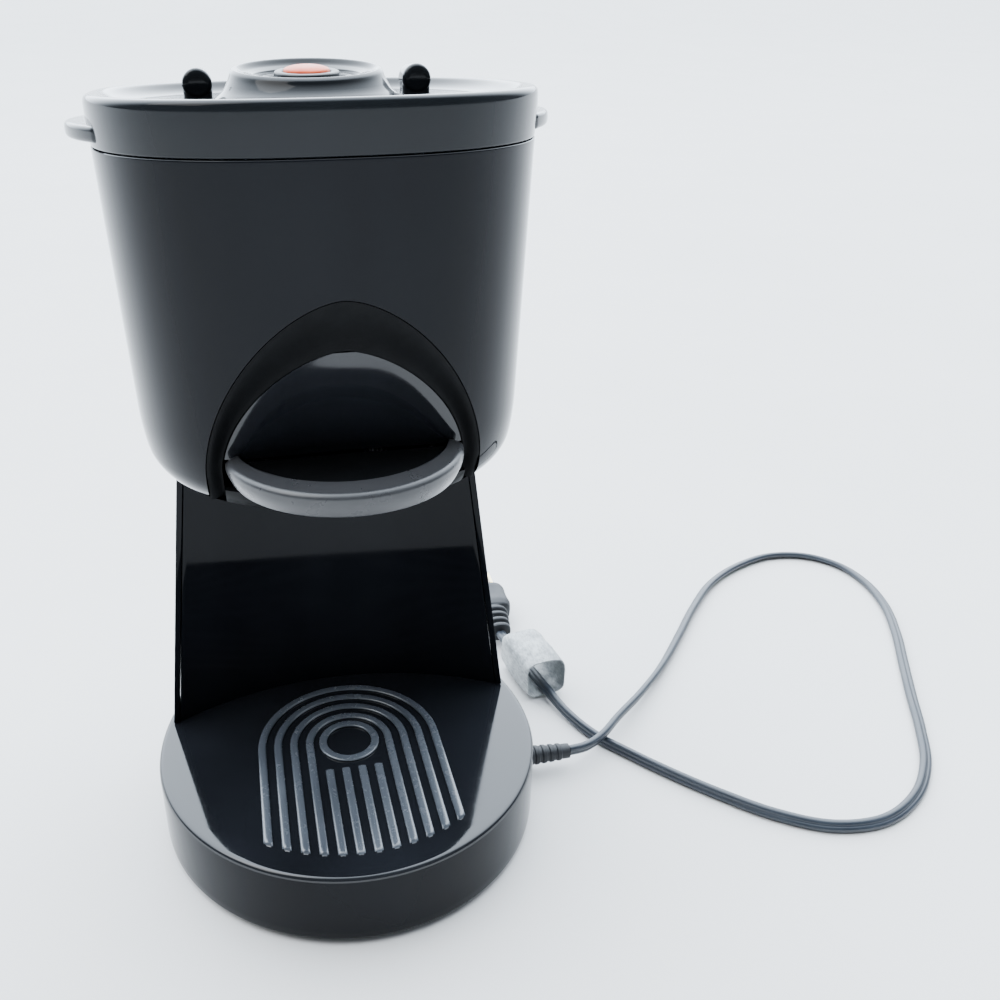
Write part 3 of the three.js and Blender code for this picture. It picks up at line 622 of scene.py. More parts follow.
def make_cord():
    line = through(CORD_ROUTE)
    section = twin_section()
    lengths = lengths_along(line)
    walked = lengths[-1]
    rings, centres = [], []
    for i, spot in enumerate(line):
        ahead = (line[min(i + 1, len(line) - 1)] - line[max(i - 1, 0)]).normalized()
        along = lengths[i] / walked * (len(CORD_ROLL) - 1)
        step = min(int(along), len(CORD_ROLL) - 2)
        roll = math.radians(lerp(CORD_ROLL[step], CORD_ROLL[step + 1], ease(along - step)))
        side = ahead.cross(Vector((0, 0, 1))).normalized()
        rise = side.cross(ahead)
        across = side * math.cos(roll) + rise * math.sin(roll)
        over = rise * math.cos(roll) - side * math.sin(roll)
        # The flat cord is thinner than the round solid that holds its place, so it lies lower.
        drop = CORD_WIDTH / 2 - (CORD_LOBE_RADIUS + CORD_LOBE_REACH * abs(math.sin(roll)))
        free = ease(lengths[i] / CORD_SETTLE) * ease((walked - lengths[i]) / CORD_SETTLE)
        centre = spot - Vector((0, 0, drop * free))
        centres.append(tuple(value * MM for value in centre))
        rings.append([tuple(centre + across * a + over * b) for a, b in section])
    cord = piece("power_flex", Shape().loft(rings), "body", "power_cord", JACKET, angle=60)
    return cord, centres, walked * MM


def gland():
    """A grooved bush in the base's wall with a slim ribbed tail that tapers out along the cord."""
    tail = [(-33.5, 4.2, 0), (-29.6, 4.2, 0.4), (-29.6, 6.8, 0.8), (-25.6, 6.8, 0.6), (-25.6, 5.1, 0.2),
            (-21.6, 5.1, 0.2), (-21.6, 5.9, 0.5), (-19.4, 5.7, 0.8), (-18.4, 4.4, 0.4)]
    first_rib, rib_pitch, thin, thick = 17.2, 3.6, 3.5, 4.3
    for n in range(4):
        start = n * rib_pitch - first_rib
        radius = lerp(thin, thick, -start / first_rib)
        tail += [(start, radius - 0.25, 0.3), (start + 0.3, radius + 0.25, 0.5),
                 (start + 2, radius + 0.15, 0.5), (start + 2.4, radius - 0.3, 0.3)]
    tail += [(-1.4, 3.5, 0.6), (0, 3.4, 0.3), (0, 3.1, 0)]
    outside = eased([(radius, along, cut) for along, radius, cut in tail], 4)
    profile = [(3.1, -33.5), *outside, (3.1, -33.5)]
    return piece("cord_gland", turned(profile, CORD_EXIT, 40, axis="x"), "body", "strain_relief",
                 RUBBER)


def placed(shape, at, degrees):
    turn = Matrix.Rotation(math.radians(degrees), 3, "Z")
    return shape.move(lambda p: tuple(turn @ Vector(p) + Vector(at)))


def tag():
    """A paper tag wrapped round the cord as a soft box, open at both ends, creased and blank."""
    half_length, half, thick, paper = 16, 11.3, 10.5, 0.6
    around, along, power = 72, 30, 4.2
    fold_size, fold_depth, crinkle_size, crinkle_depth = 0.13, 1.5, 0.3, 0.9
    pinch_in, crease_share = 0.05, 0.035
    slant_depth, slant_parts = 2.2, 10  # the front end is cut on a slant over a tenth of the length
    rings = []
    rows = [(i / along, 0) for i in range(along + 1)] + [(1 - i / along, paper) for i in range(along + 1)]
    for share, inset in rows:
        y = (share * 2 - 1) * half_length
        ring = []
        for c, s in cos_sin(around):
            x = (half - inset) * bulged(c, power)
            z = (thick - inset) * bulged(s, power)
            spot = Vector((x, y, z))
            crease = (noise.noise(spot * fold_size) * fold_depth
                      + abs(noise.noise(spot * crinkle_size + Vector((7, 3, 1)))) * crinkle_depth)
            pinch = 1 - pinch_in * (share * 2 - 1) ** 2 + crease * crease_share
            slant = slant_depth * s * (1 - share * slant_parts) if share < 1 / slant_parts else 0
            ring.append((x * pinch, y + max(-1.0, slant) * 0.5 + abs(slant) * 0.3, z * pinch))
        rings.append(ring)
    shape = placed(Shape().loft(rings, round_trip=True), LABEL_CENTRE, LABEL_TURN)
    return piece("cord_tag", shape, "body", "cord_label", PAPER, angle=50)


def soft_section(y, half, thick, power, steps=48):
    return [(half * bulged(c, power), y, thick * bulged(s, power)) for c, s in cos_sin(steps)]


def plug():
    """Moulded plug: four swelling ribs, then a rounded grip with finger dips and a flat nose."""
    first_y, rib_pitch = 0.4, 5
    rib = ((0, 0.7), (0.5, 1.2), (1.3, 1.4), (2.1, 1.3), (2.6, 0.8), (3, -0.3), (3.9, -0.5), (4.6, -0.3))
    rings = [soft_section(first_y, 4, 3.6, 2.2)]
    for n in range(4):
        y, half = first_y + n * rib_pitch, 5 + n * 0.7
        for along, grow in rib:
            rings.append(soft_section(y + along, half + grow, half + grow * 0.75 - 0.4, 2.4))
    grip = eased([(20.6, 9.6, 0), (21.4, 10.6, 0.6), (25, 12, 1.5), (31, 11.5, 3), (37, 11.6, 3),
                  (40.5, 12, 1.5), (44, 11.2, 1), (45, 9.6, 0)], 4)
    for y, half in grip:
        rings.append(soft_section(y, half, half * 0.66, 3.2))
    shape = placed(Shape().loft(rings), PLUG_START, PLUG_TURN)
    return piece("plug_grip", shape, "body", "plug_body", RUBBER, angle=40)


cord_piece, cord_line, cord_length = make_cord()
gland_piece = gland()
tag_piece = tag()
plug_piece = plug()
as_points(cord_line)

# ---- base ----


def base_ring(z, inset):
    radius = BASE_RADIUS - inset
    return superellipse(z, radius, radius, BASE_REAR_DEPTH - inset, BASE_CENTRE_Y, power=2, steps=200)


def front_end(x):
    """The y where a rib of the plate ends towards the front."""
    return BASE_CENTRE_Y - math.sqrt((BASE_RADIUS - RIB_MARGIN) ** 2 - x ** 2)


def rib(shape, path):
    """A rib with a broad crown along a flat path; its front ends follow the plate's round edge."""
    section = [(math.cos(math.pi * i / 12), math.sin(math.pi * i / 12)) for i in range(13)]
    end_round, end_slope, slant_reach = 0.7, 1.5, 7
    least_width, least_height, square_across, square_up = 0.5, 0.15, 0.62, 0.7
    path = with_fine_ends(path)
    lengths = [0.0]
    for a, b in zip(path, path[1:]):
        lengths.append(lengths[-1] + math.dist(a, b))
    rings = []
    for i, (x, y) in enumerate(path):
        before, after = path[max(i - 1, 0)], path[min(i + 1, len(path) - 1)]
        step = Vector((after[0] - before[0], after[1] - before[1])).normalized()
        to_end = min(lengths[i], lengths[-1] - lengths[i])
        width = math.sqrt(max(0.0, 1 - max(0.0, 1 - to_end / end_round) ** 2))
        width = max(least_width, width) * RIB_HALF_WIDTH
        height = lerp(least_height, 1, ease(to_end / end_slope))
        slant = 1 - ease((y - front_end(x)) / slant_reach)
        ring = []
        for c, s in section:
            wide = math.copysign(abs(c) ** square_across, c) * width
            px, py = x - step.y * wide, y + step.x * wide
            if slant:
                py += (front_end(px) - front_end(x)) * slant
            ring.append((px, py, RIB_LOW + (RIB_HIGH - RIB_LOW) * s ** square_up * height))
        rings.append(ring)
    shape.loft(rings)


def between(start, end, share):
    return lerp(start[0], end[0], share), lerp(start[1], end[1], share)


def line_points(start, end, spacing=1.2):
    count = max(2, int(math.dist(start, end) / spacing))
    return [between(start, end, i / count) for i in range(count + 1)]


def with_fine_ends(path):
    """Adds points close to both ends, so that the rib's rounded ends are smooth."""
    reach = RIB_HALF_WIDTH
    clear = reach * 0.9

    def fine(end, inner):
        whole = math.dist(end, inner)
        return [between(end, inner, reach * share / whole) for share in (0, 0.04, 0.15, 0.35, 0.65)]

    keep = [p for p in path if math.dist(p, path[0]) > clear and math.dist(p, path[-1]) > clear]
    return fine(path[0], path[3]) + keep + fine(path[-1], path[-4])[::-1]


def plate_ribs(shape):
    """Four short ribs in front of the drip ring, and four that run round it as arches."""
    short_end_y, turn_steps = RING_Y - 16, 60
    for n in (-1.5, -0.5, 0.5, 1.5):
        x = n * RIB_PITCH
        rib(shape, line_points((x, front_end(x)), (x, short_end_y)))
    for n in range(2, 6):
        radius = (n + 0.5) * RIB_PITCH
        angles = [math.pi * k / turn_steps for k in range(turn_steps + 1)]
        turn = [(radius * math.cos(angle), RING_Y + radius * math.sin(angle)) for angle in angles]
        path = line_points((radius, front_end(radius)), (radius, RING_Y))[:-1] + turn
        path += line_points((-radius, RING_Y), (-radius, front_end(radius)))[1:]
        rib(shape, path)
    ring = eased([(9.6, RIB_LOW, 0), (9.7, RIB_HIGH, 0.9), (13.1, RIB_HIGH, 1.3), (13.3, RIB_LOW, 0),
                  (9.6, RIB_LOW, 0)], 5)
    shape.join(turned(ring, (0, RING_Y, 0), 96))


def base():
    profile = eased([(2.6, BASE_TOP - WALL, 0), (2.6, BASE_BOTTOM, 0.3), (0.2, BASE_BOTTOM, 1.4),
                     (0, BASE_BOTTOM + 4, 0.5), (0, BASE_TOP, 2.5), (6, BASE_TOP, 0)], 8)
    shape = Shape().loft([base_ring(z, inset) for inset, z in profile])
    plate_ribs(shape)
    housing = piece("base_housing", shape, "body", "base_shell", GLOSS, angle=40)
    # The plate shines more than the wall. The ribs' crowns get a rougher finish and a much lighter colour;
    # the lighter colour is a painted highlight.
    for material in (GLOSS_BASE, RIB_PAINTED_HIGHLIGHT):
        housing.data.materials.append(material)
    painted_highlight_from, plate_from = 0.25, -2
    for face in housing.data.polygons:
        height = face.center.z / MM - BASE_TOP
        if height > painted_highlight_from:
            face.material_index = 2
        elif height > plate_from:
            face.material_index = 1


base()

# ---- column ----


def column_side(z, inset, bay_radius, count):
    """The column's outline from its right tip round the back to its left tip, at one height."""
    t = (z - BASE_TOP) / (HEAD_BOTTOM - BASE_TOP)
    half = lerp(*COLUMN_HALF, t) - inset
    rear = lerp(*COLUMN_REAR, t) - inset

    def spot(angle):
        c, s = math.cos(angle), math.sin(angle)
        depth = COLUMN_FRONT if s < 0 else rear
        return Vector((half * bulged(c, OUTLINE_POWER), COLUMN_CENTRE_Y + depth * bulged(s, OUTLINE_POWER)))

    low, high = -math.pi / 2, math.pi / 2
    for _ in range(40):
        middle = (low + high) / 2
        inside = (spot(middle) - Vector((0, BAY_CENTRE_Y))).length < bay_radius
        low, high = (middle, high) if inside else (low, middle)
    steps = count * OUTLINE_FINENESS
    return evenly([spot(lerp(high, math.pi - high, i / steps)) for i in range(steps + 1)], count - 1, count)


COLUMN_HEIGHTS = [lerp(COLUMN_BOTTOM, COLUMN_TOP, i / 12) for i in range(13)]


def column_skin():
    rings = []
    for z in COLUMN_HEIGHTS:
        outer = column_side(z, 0, BAY_RADIUS, 120)
        inner = column_side(z, WALL, BAY_RADIUS, 120)
        rings.append([(*spot, z) for spot in outer + inner[::-1]])
    piece("column_housing", Shape().loft(rings), "body", "rear_shell", GLOSS, bevel=0.45)


def bay_wall():
    steps = 72
    rings = []
    for z in COLUMN_HEIGHTS:
        ring = []
        for radius, way in ((BAY_RADIUS, 1), (BAY_RADIUS + WALL, -1)):
            reach = column_side(z, WALL + GAP, radius, 3)[0][0]
            for k in range(steps + 1):
                x = way * lerp(-reach, reach, k / steps)
                ring.append((x, BAY_CENTRE_Y + math.sqrt(radius ** 2 - x ** 2), z))
        rings.append(ring)
    piece("bay_wall", Shape().loft(rings), "body", "column_front", GLOSS, bevel=0.3)


column_skin()
bay_wall()

# ---- head ----


def head_scale(z):
    tuck = max(0.0, HEAD_TUCK_START - z) / HEAD_TUCK_SPAN
    half = HEAD_HALF_AT_TOP - HEAD_TAPER * (HEAD_TOP - z) - HEAD_TUCK_DEPTH * tuck * tuck
    return half / HEAD_HALF_AT_TOP


def head_ring(z, inset=0.0, at=None):
    """The head's outline at one height, or at another height's width."""
    scale = head_scale(z if at is None else at)
    sizes = [size * scale - inset for size in (HEAD_HALF_AT_TOP, HEAD_FRONT_AT_TOP, HEAD_REAR_AT_TOP)]
    return superellipse(z, *sizes, HEAD_CENTRE_Y)


def bottom_inset(z):
    """How far the rounding of the head's floor draws its wall in at a height."""
    share = max(0.0, 1 - (z - HEAD_BOTTOM) / HEAD_BOTTOM_ROUND)
    return HEAD_BOTTOM_ROUND * (1 - math.sqrt(1 - min(1.0, share) ** 2))


def head_front(x, z, depth):
    """The point at x and z that lies depth behind the head's front face."""
    scale = head_scale(z)
    depth += bottom_inset(z)
    across = min(1.0, abs(x) / (HEAD_HALF_AT_TOP * scale))
    fall = (1 - across ** OUTLINE_POWER) ** (1 / OUTLINE_POWER)
    return x, HEAD_CENTRE_Y - HEAD_FRONT_AT_TOP * scale * fall + depth, z


def arch_line(half, top, foot):
    """The arch from its left foot over its crown to its right foot, as (x, z)."""
    line = [(-half, foot)]
    for i in range(ARCH_STEPS + 1):
        angle = math.pi * (1 - i / ARCH_STEPS)
        c, s = math.cos(angle), max(0.0, math.sin(angle))
        rise = (top - ARCH_SPRING) * s ** (2 / ARCH_POWER)
        line.append((half * bulged(c, ARCH_POWER), ARCH_SPRING + rise))
    line.append((half, foot))
    return line


def arch_inner_half(z):
    """Half the width of the arch's inner edge at a height."""
    if z <= ARCH_SPRING:
        return ARCH_INNER_HALF
    share = (z - ARCH_SPRING) / (ARCH_INNER_TOP - ARCH_SPRING)
    return ARCH_INNER_HALF * (1 - share ** ARCH_POWER) ** (1 / ARCH_POWER)


def arch_cutter():
    """Cuts the arch out of the head's wall, but leaves the lip under the dispense bar."""
    clear, foot, front_y, rear_y = 0.35, ARCH_FOOT - 0.6, -100, -30
    outline = arch_line(ARCH_HALF + clear, ARCH_TOP + clear, foot)
    lip = ARCH_INNER_HALF - SCOOP_CLEAR
    outline += [(lip, foot), (lip, LIP_TOP), (-lip, LIP_TOP), (-lip, foot)]
    rings = [[(x, y, z) for x, z in outline] for y in (front_y, rear_y)]
    return solid("arch_cutter", Shape().loft(rings))


def head():
    outer, inner = [], []
    corner_steps, row_pitch = 12, 3
    inner_round = HEAD_BOTTOM_ROUND - WALL
    for i in range(corner_steps + 1):
        angle = math.pi / 2 * i / corner_steps
        out, up = 1 - math.sin(angle), 1 - math.cos(angle)
        outer.append((HEAD_BOTTOM_ROUND * out, HEAD_BOTTOM + HEAD_BOTTOM_ROUND * up))
        inner.append((WALL + inner_round * out, HEAD_FLOOR + inner_round * up))
    low_side = HEAD_BOTTOM + HEAD_BOTTOM_ROUND
    outer += [(0.0, low_side + row_pitch * i) for i in range(1, 33)]
    outer += eased([(0, HEAD_TOP - 1.5, 0), (0, HEAD_TOP, 0.5), (WALL, HEAD_TOP, 0.5),
                    (WALL, HEAD_TOP - 4, 0)], 3)
    profile = outer + [(WALL, z) for z in (270, 250, 230, 210, 195)] + inner[::-1]
    rings = [head_ring(z, inset) for inset, z in profile]
    hole = [(0, 150), (SPOUT_HOLE, 150), (SPOUT_HOLE, 180), (0, 180)]
    spout_hole = solid("spout_cutter", turned(hole, (0, RING_Y, 0), 64))
    shell = piece("head_housing", Shape().loft(rings), "body", "head_shell", GLOSS,
                  cutters=(arch_cutter(), spout_hole))
    # The strip of wall under the dispense bar is as dull as the frame beside it.
    shell.data.materials.append(FRAME)
    for face in shell.data.polygons:
        x, y, z = (value / MM for value in face.center)
        if abs(x) < ARCH_INNER_HALF and y < LIP_REAR_Y and z < LIP_TOP + 0.6:
            face.material_index = 1


def bezel():
    """The dull frame round the scoop, falling away from just under the head's face."""
    outer = arch_line(ARCH_HALF, ARCH_TOP, ARCH_FOOT)
    inner = arch_line(ARCH_INNER_HALF, ARCH_INNER_TOP, ARCH_FOOT)
    edge_depth, fall, curved, straight = 0.3, 5.7, 0.6, 0.4
    section = [(i / 10, edge_depth + fall * ease(i / 10) * curved + fall * (i / 10) * straight)
               for i in range(11)]
    section += [(1, 8.4), (0.5, 6), (0, 3)]
    rings = [[head_front(*between(edge, hole, share), depth) for share, depth in section]
             for edge, hole in zip(outer, inner)]
    piece("arch_frame", Shape().loft(rings), "body", "arch_bezel", FRAME, angle=50)


def scoop():
    """The glossy dished panel inside the frame, deepest at the bottom middle."""
    across, rows, thickness, least_half, row_power = 56, 40, 2.2, 0.4, 1.5
    rings = []
    for r in range(rows + 1):
        z = lerp(SCOOP_BOTTOM, ARCH_INNER_TOP - SCOOP_CLEAR, 1 - (1 - r / rows) ** row_power)
        half = max(least_half, arch_inner_half(z) - SCOOP_CLEAR)
        fall = 1 - (z - SCOOP_BOTTOM) / (ARCH_INNER_TOP - SCOOP_BOTTOM)
        ring = []
        for extra, way in ((0, 1), (thickness, -1)):
            for k in range(across + 1):
                x = way * half * (2 * k / across - 1)
                dish = SCOOP_DISH * fall * (1 - (x / half) ** 2)
                ring.append(head_front(x, z, SCOOP_EDGE_DEPTH + dish + extra))
        rings.append(ring)
    piece("scoop_dish", Shape().loft(rings), "body", "scoop_panel", GLOSS_BASE, angle=45)


head()
bezel()
scoop()

# ---- dispense bar ----

BAR_LOW = bar_low[2]
BAR_HIGH = bar_high[2]
BAR_END = bar_high[0]
BAR_END_Y = -54
BAR_FRONT_Y = bar_low[1]
BAR_BACK_Y = BAR_FRONT_Y + 10.5
BAR_END_DEPTH = 3  # from front to back at the bar's ends
BAR_END_SLANT = 2  # by how much the back is shorter than the front there


def arc_through(half_chord, chord_y, middle_y):
    """Radius and centre y of the circle through both ends and the middle of an arc."""
    rise = chord_y - middle_y
    radius = (half_chord ** 2 + rise ** 2) / (2 * rise)
    return radius, middle_y + radius


def crescent(z, shrink, back_shrink):
    steps = 72
    front_end_x = BAR_END - shrink
    back_end_x = front_end_x - BAR_END_SLANT
    front = arc_through(front_end_x, BAR_END_Y, BAR_FRONT_Y + shrink)
    back = arc_through(back_end_x, BAR_END_Y + BAR_END_DEPTH - back_shrink, BAR_BACK_Y - back_shrink)
    ring = []
    for (radius, centre_y), reach, way in ((front, front_end_x, 1), (back, back_end_x, -1)):
        for k in range(steps + 1):
            angle = way * math.asin(reach / radius) * (2 * k / steps - 1)
            ring.append((radius * math.sin(angle), centre_y - radius * math.cos(angle), z))
    return ring


def dispense_bar():
    """Crescent finger bar: a leaning front face, a soft front edge and a faintly hollow ledge."""
    front = eased([(3.4, BAR_LOW, 0), (2.4, BAR_LOW, 0.8), (0.2, BAR_HIGH - 4.2, 3),
                   (0.3, BAR_HIGH - 1.3, 0.8), (1.7, BAR_HIGH, 1.4), (3.4, BAR_HIGH, 0)], 7)
    back_edge, low_edge, high_edge = 0.25, BAR_LOW + 0.4, BAR_HIGH - 0.3
    rings = [crescent(z, shrink, 0 if low_edge <= z <= high_edge else back_edge) for shrink, z in front]
    piece("bar_grip", Shape().loft(rings), "lever", "dispense_bar", BAR_GREY, angle=50)


def lever_plate():
    """The dull plate that carries the bar back under the scoop, its knuckles and the lifting tongue."""
    low, high, back_high, reach, steps = 183.0, 185.5, 188.1, 37.4, 64
    into_bar, clear, least_depth = 1.1, 0.5, 1.2
    radius, centre_y = arc_through(BAR_END, BAR_END_Y, BAR_BACK_Y)
    half = arch_inner_half(SCOOP_BOTTOM)
    rings = []
    for k in range(steps + 1):
        x = reach * (2 * k / steps - 1)
        front = centre_y - math.sqrt((radius - into_bar) ** 2 - x ** 2)
        dish = SCOOP_DISH * (1 - (x / half) ** 2)
        face_y = head_front(x, SCOOP_BOTTOM, SCOOP_EDGE_DEPTH + dish)[1]
        back = max(front + least_depth, face_y - clear)
        section = eased([(front, low, 0), (front, high, 0.3), (lerp(front, back, 0.35), high, 3),
                         (back, back_high, 0.2), (back, low + 1, 0.2), (back - 0.4, low, 0)], 4)
        rings.append([(x, y, z) for y, z in section])
    shape = Shape().loft(rings)
    bore, knuckle = 2.35, 3.5
    for left, right in ((-24, -15), (-7, 7), (15, 24)):
        profile = eased([(bore, left, 0), (knuckle, left, 0.4), (knuckle, right, 0.4), (bore, right, 0.2),
                         (bore, left, 0)], 4)
        shape.join(turned(profile, (0, PIVOT_Y, PIVOT_Z), 40, axis="x"))
    tongue = eased([(1.1, -42.5, 0), (1.25, -40, 0.6), (1.25, -15, 1), (0.7, -13, 0)], 4)
    tongue_half, tongue_z = 3.5, PIVOT_Z + 0.4
    shape.loft([[(x, y, z + tongue_z) for x, y, z in soft_section(y, tongue_half, thick, 5, 32)]
                for thick, y in tongue])
    piece("lever_plate", shape, "lever", "lever_arm", FRAME, angle=40)


dispense_bar()
lever_plate()

# ---- lid ----


def radius_at(angle, half, front, rear, power):
    """How far a superellipse's outline lies from its centre in one direction."""
    c, s = math.cos(angle), math.sin(angle)
    depth = front if s < 0 else rear
    return (abs(c / half) ** power + abs(s / depth) ** power) ** (-1 / power)


def lid_radius(angle):
    return radius_at(angle, HEAD_HALF_AT_TOP, HEAD_FRONT_AT_TOP, HEAD_REAR_AT_TOP, OUTLINE_POWER)


def lug_radius(angle):
    return radius_at(angle, LUG_REACH, LUG_FRONT, LUG_REAR, 2)


def lugs(shape):
    """A rounded finger ledge that swells out of each side of the lid."""
    low, high, edge = 285.4, 290.2, 2.0
    stand_least, blunt_from, steps, sink = 0.4, 0.965, 72, 1.2
    angle_step, round_reach = 0.002, edge * 1.6

    def limit(way):
        angle = 0.0
        while lug_radius(angle * way) - lid_radius(angle * way) > stand_least:
            angle += angle_step
        return angle

    section = eased([(0, low, 0), (1, low, edge), (1, high, edge), (0, high, 0)], 7)
    front_limit, rear_limit = limit(-1), limit(1)
    for side in (-1, 1):
        rings = []
        for k in range(steps + 1):
            share = 2 * k / steps - 1
            angle = lerp(-front_limit, rear_limit, k / steps)
            blunt = max(0.0, abs(share) - blunt_from) / (1 - blunt_from)
            stand = (lug_radius(angle) - lid_radius(angle)) * math.sqrt(max(0.0, 1 - blunt ** 2))
            inner, outer = lid_radius(angle) - sink, lid_radius(angle) + stand
            ring = []
            for out, z in section:
                # The last millimetres of the section round off; nearer in it is straight.
                radius = outer - (1 - out) * min(round_reach, outer - inner) if out > 0 else inner
                ring.append((side * radius * math.cos(angle), HEAD_CENTRE_Y + radius * math.sin(angle), z))
            rings.append(ring)
        shape.loft(rings)


def lid():
    hole, plate_bottom = 3.9, LID_PLATE_TOP - 2.7
    profile = eased([(14, plate_bottom, 0), (3, 288, 1), (3, LID_BOTTOM, 0.3), (0.1, LID_BOTTOM, 0.7),
                     (-0.5, 293, 2), (-0.45, LID_TOP, 2.6), (4.4, LID_TOP, 1.6),
                     (8.5, LID_PLATE_TOP + 1.4, 2.5), (14, LID_PLATE_TOP, 3), (26, LID_PLATE_TOP, 0)], 8)
    rings = [head_ring(z, inset, at=HEAD_TOP) for inset, z in profile]
    # The hole in the middle lets the button's stem meet the light rod.
    rings += [superellipse(z, hole, hole, hole, ROD_Y, power=2) for z in (LID_PLATE_TOP, plate_bottom)]
    shape = Shape().loft(rings, round_trip=True)
    lugs(shape)
    piece("lid_cover", shape, "lid", "lid", GLOSS_LID, angle=50)


def peg(side):
    """A short round-nosed bar on a flared foot."""
    x = side * PEG_X
    radius, reach = (peg_high[0] - peg_low[0]) / 2, (peg_high[1] - peg_low[1]) / 2
    nose = eased([(0, -reach, 0), (radius, -reach, 2.4), (radius, reach, 2.4), (0, reach, 0)], 8)
    shape = turned(nose, (x, PEG_Y, PEG_Z), 56, axis="y")
    foot = eased([(5.1, LID_PLATE_TOP + 0.1, 0), (4.95, LID_PLATE_TOP + 1.2, 1), (5.0, 299.5, 0)], 6)
    shape.loft([[(px + x, py + PEG_Y, pz)
                 for px, py, pz in superellipse(height, half, half + 0.7, half + 0.7, 0, 4, 48)]
                for half, height in foot])
    name = "left" if side < 0 else "right"
    piece(f"peg_{name}", shape, "lid", f"lid_peg_{name}", GLOSS_LID, angle=50)


def tipped(profile, steps):
    """A piece turned about the rod, with its top tipped forwards: the higher a point, the more it tips."""
    def change(p):
        share = max(0.0, min(1.0, (p[2] - TIP_FROM) / TIP_SPAN))
        return p[0], p[1], p[2] + (p[1] - ROD_Y) * RIM_TILT * share
    return turned(profile, (0, ROD_Y, 0), steps).move(change)


def housing():
    """The raised button housing: a smoothly flared skirt up to a rim, dished inside in steps."""
    profile = eased([
        (9, 294.5, 0), (33, 294.5, 0.1), (32.6, 294.8, 0.4), (29.6, 297, 3), (27.6, 300.6, 3),
        (26.6, 303.4, 0.7), (25.4, 304.3, 0.7), (24.4, 304, 0.5),
        (22.8, 302.7, 0.9), (19.2, 301.9, 0.3), (18.9, 301.4, 0.2), (16.2, 301.1, 0.3), (15.9, 300.8, 0.2),
        (12.2, 300.4, 0.3), (12.2, 298.2, 0.2), (9, 298.2, 0.2), (9, 294.5, 0)], 5)
    piece("button_surround", tipped(profile, 144), "lid", "button_housing", GLOSS_LID,
          angle=45)


def ring():
    profile = eased([(8.6, 298.5, 0), (11.5, 298.5, 0.2), (11.5, 303.2, 1), (8.6, 303.2, 0.9),
                     (8.6, 298.5, 0)], 6)
    piece("button_collar", tipped(profile, 96), "lid", "button_ring", SATIN)


def button():
    profile = eased([(0, 291.9, 0), (2.6, 291.9, 0.3), (2.6, 300.4, 0.3), (8.2, 300.4, 0.3),
                     (8.2, 303.8, 0.9), (5.5, 304.7, 2), (0, 305, 0)], 6)
    piece("button_lens", tipped(profile, 96), "heat_button", "heat_button", LENS)


lid()
for peg_side in (-1, 1):
    peg(peg_side)
housing()
ring()
button()

# ---- parts seen when the lid is off, and from below ----


def tank():
    """The water tank with its flange and the standpipe that carries the light rod."""
    centre_y, floor = 16, 203.0

    def cup_ring(z, half, inset=0.0):
        return superellipse(z, half - inset, half - 8 - inset, half - 8 - inset, centre_y)

    rim = 281.4
    outside = ((floor, 40), (floor, 60), (floor + 1, 63), (209, 66), (rim - 2.4, 68))
    flange = ((rim - 2.4, 3.2), (rim - 0.3, 3.2), (rim, 3.5))
    inside = ((rim, 68, 1.6), (rim - 0.6, 68, 2), (210, 66, 2), (206, 63.6, 2), (205, 60, 2), (205, 40))
    rings = [cup_ring(*row) for row in outside]
    rings += [head_ring(*row) for row in flange]
    rings += [cup_ring(*row) for row in inside]
    shape = Shape().loft(rings)
    pipe = [(3.2, 203.5, 0), (3.2, 276, 0.4), (5.5, 276, 0.6), (5.5, 203.5, 0), (3.2, 203.5, 0)]
    shape.join(turned(eased(pipe), (0, ROD_Y, 0), 48))
    piece("water_tank", shape, "body", "tank", INNER, angle=40)


def spout():
    profile = eased([(4, 158, 0.3), (6, 158, 0.5), (7.6, 167, 1), (7.6, 170.8, 0.2), (11, 170.8, 0.3),
                     (11, 172.8, 0.3), (8, 172.8, 0.2), (8, 175.7, 0.3), (6, 175.7, 0.3), (4, 170, 1),
                     (4, 158, 0)], 5)
    profile.append(profile[0])
    piece("spout_nozzle", turned(profile, (0, RING_Y, 0), 64), "body", "spout", SATIN)


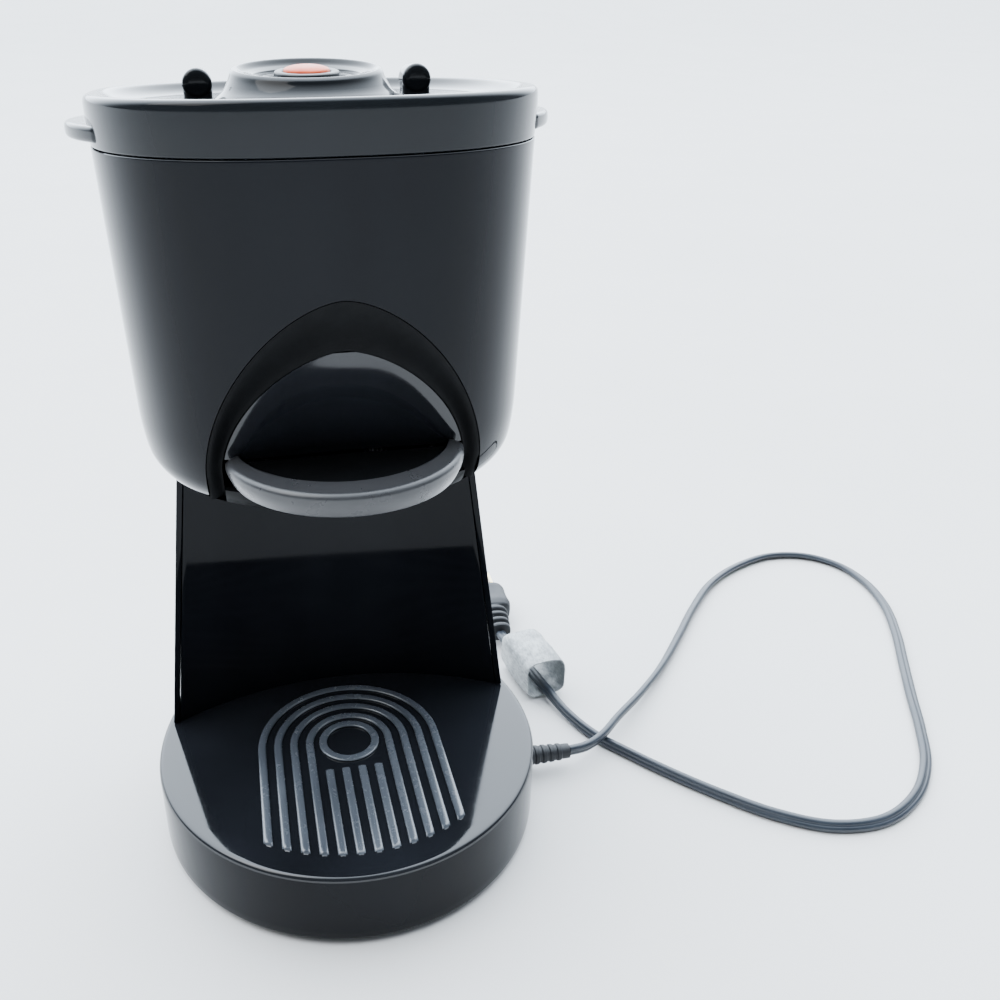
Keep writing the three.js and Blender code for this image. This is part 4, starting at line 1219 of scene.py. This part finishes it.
def rubber_foot(corner):
    node = f"foot_{corner}"
    low, high = box_mm(node)
    x, y = (low[0] + high[0]) / 2, (low[1] + high[1]) / 2
    top = high[2]
    profile = eased([(0, 0.35, 0), (4.6, 0.35, 0.4), (5.2, 0, 0.4), (7, 0, 0.5), (8, 1, 0.5),
                     (8, top, 0.3), (0, top, 0)], 5)
    piece(f"pad_{corner}", turned(profile, (x, y, 0), 56), "body", node, RUBBER)


tank()
spout()
for foot_corner in ("front_left", "front_right", "rear_left", "rear_right"):
    rubber_foot(foot_corner)

# ---- finishes on the CAD nodes that stay ----
NODE_FINISH = {
    "base_cover": SATIN, "terminal_block": SILICONE, "wiring_loom": RUBBER, "supply_lead": JACKET,
    "heater_plate": ALUMINIUM, "heating_element": STEEL, "thermostat": ALUMINIUM, "thermal_fuse": SILICONE,
    "switch_body": INNER, "indicator_lamp": CLEAR, "light_rod": CLEAR, "valve_body": INNER,
    "valve_plunger": SILICONE, "valve_seal": SILICONE, "valve_spring": STEEL,
    "lever_pin": STEEL, "lever_spring": STEEL, "lid_gasket": RUBBER, "button_spring": STEEL,
    "plug_blade_left": BRASS, "plug_blade_right": BRASS,
}
for node_name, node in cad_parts.items():
    if node_name.startswith("base_screw"):
        finish = STEEL
    else:
        finish = NODE_FINISH.get(node_name, GLOSS)
    for material_slot in node.material_slots:
        material_slot.material = finish

# ---- floor ----


def floor():
    """A pale sweep: flat round the machine, and rising very gently far behind it."""
    n = Finish("floor_paint")
    paint = n.made((n.noise(300, detail=2), (0.63, 0.615, 0.60), (0.65, 0.635, 0.62)),
                   (n.noise(40, detail=3), 0.7, 0.8))
    reach, rise_from, rise_full, slope, steps = 40, 3.0, 9.0, 0.14, 24
    rows = [-reach, *(lerp(rise_from, rise_full, i / steps) for i in range(steps + 1)), reach]
    points = []
    for y in rows:
        along = max(0.0, min(y, rise_full) - rise_from)
        height = slope * (along ** 2 / (2 * (rise_full - rise_from)) + max(0.0, y - rise_full))
        points += [(-reach, y, height), (reach, y, height)]
    faces = [(2 * i, 2 * i + 1, 2 * i + 3, 2 * i + 2) for i in range(len(rows) - 1)]
    mesh = bpy.data.meshes.new("floor")
    mesh.from_pydata(points, [], faces)
    mesh.materials.append(paint)
    mesh.shade_smooth()
    added("floor", mesh)


floor()
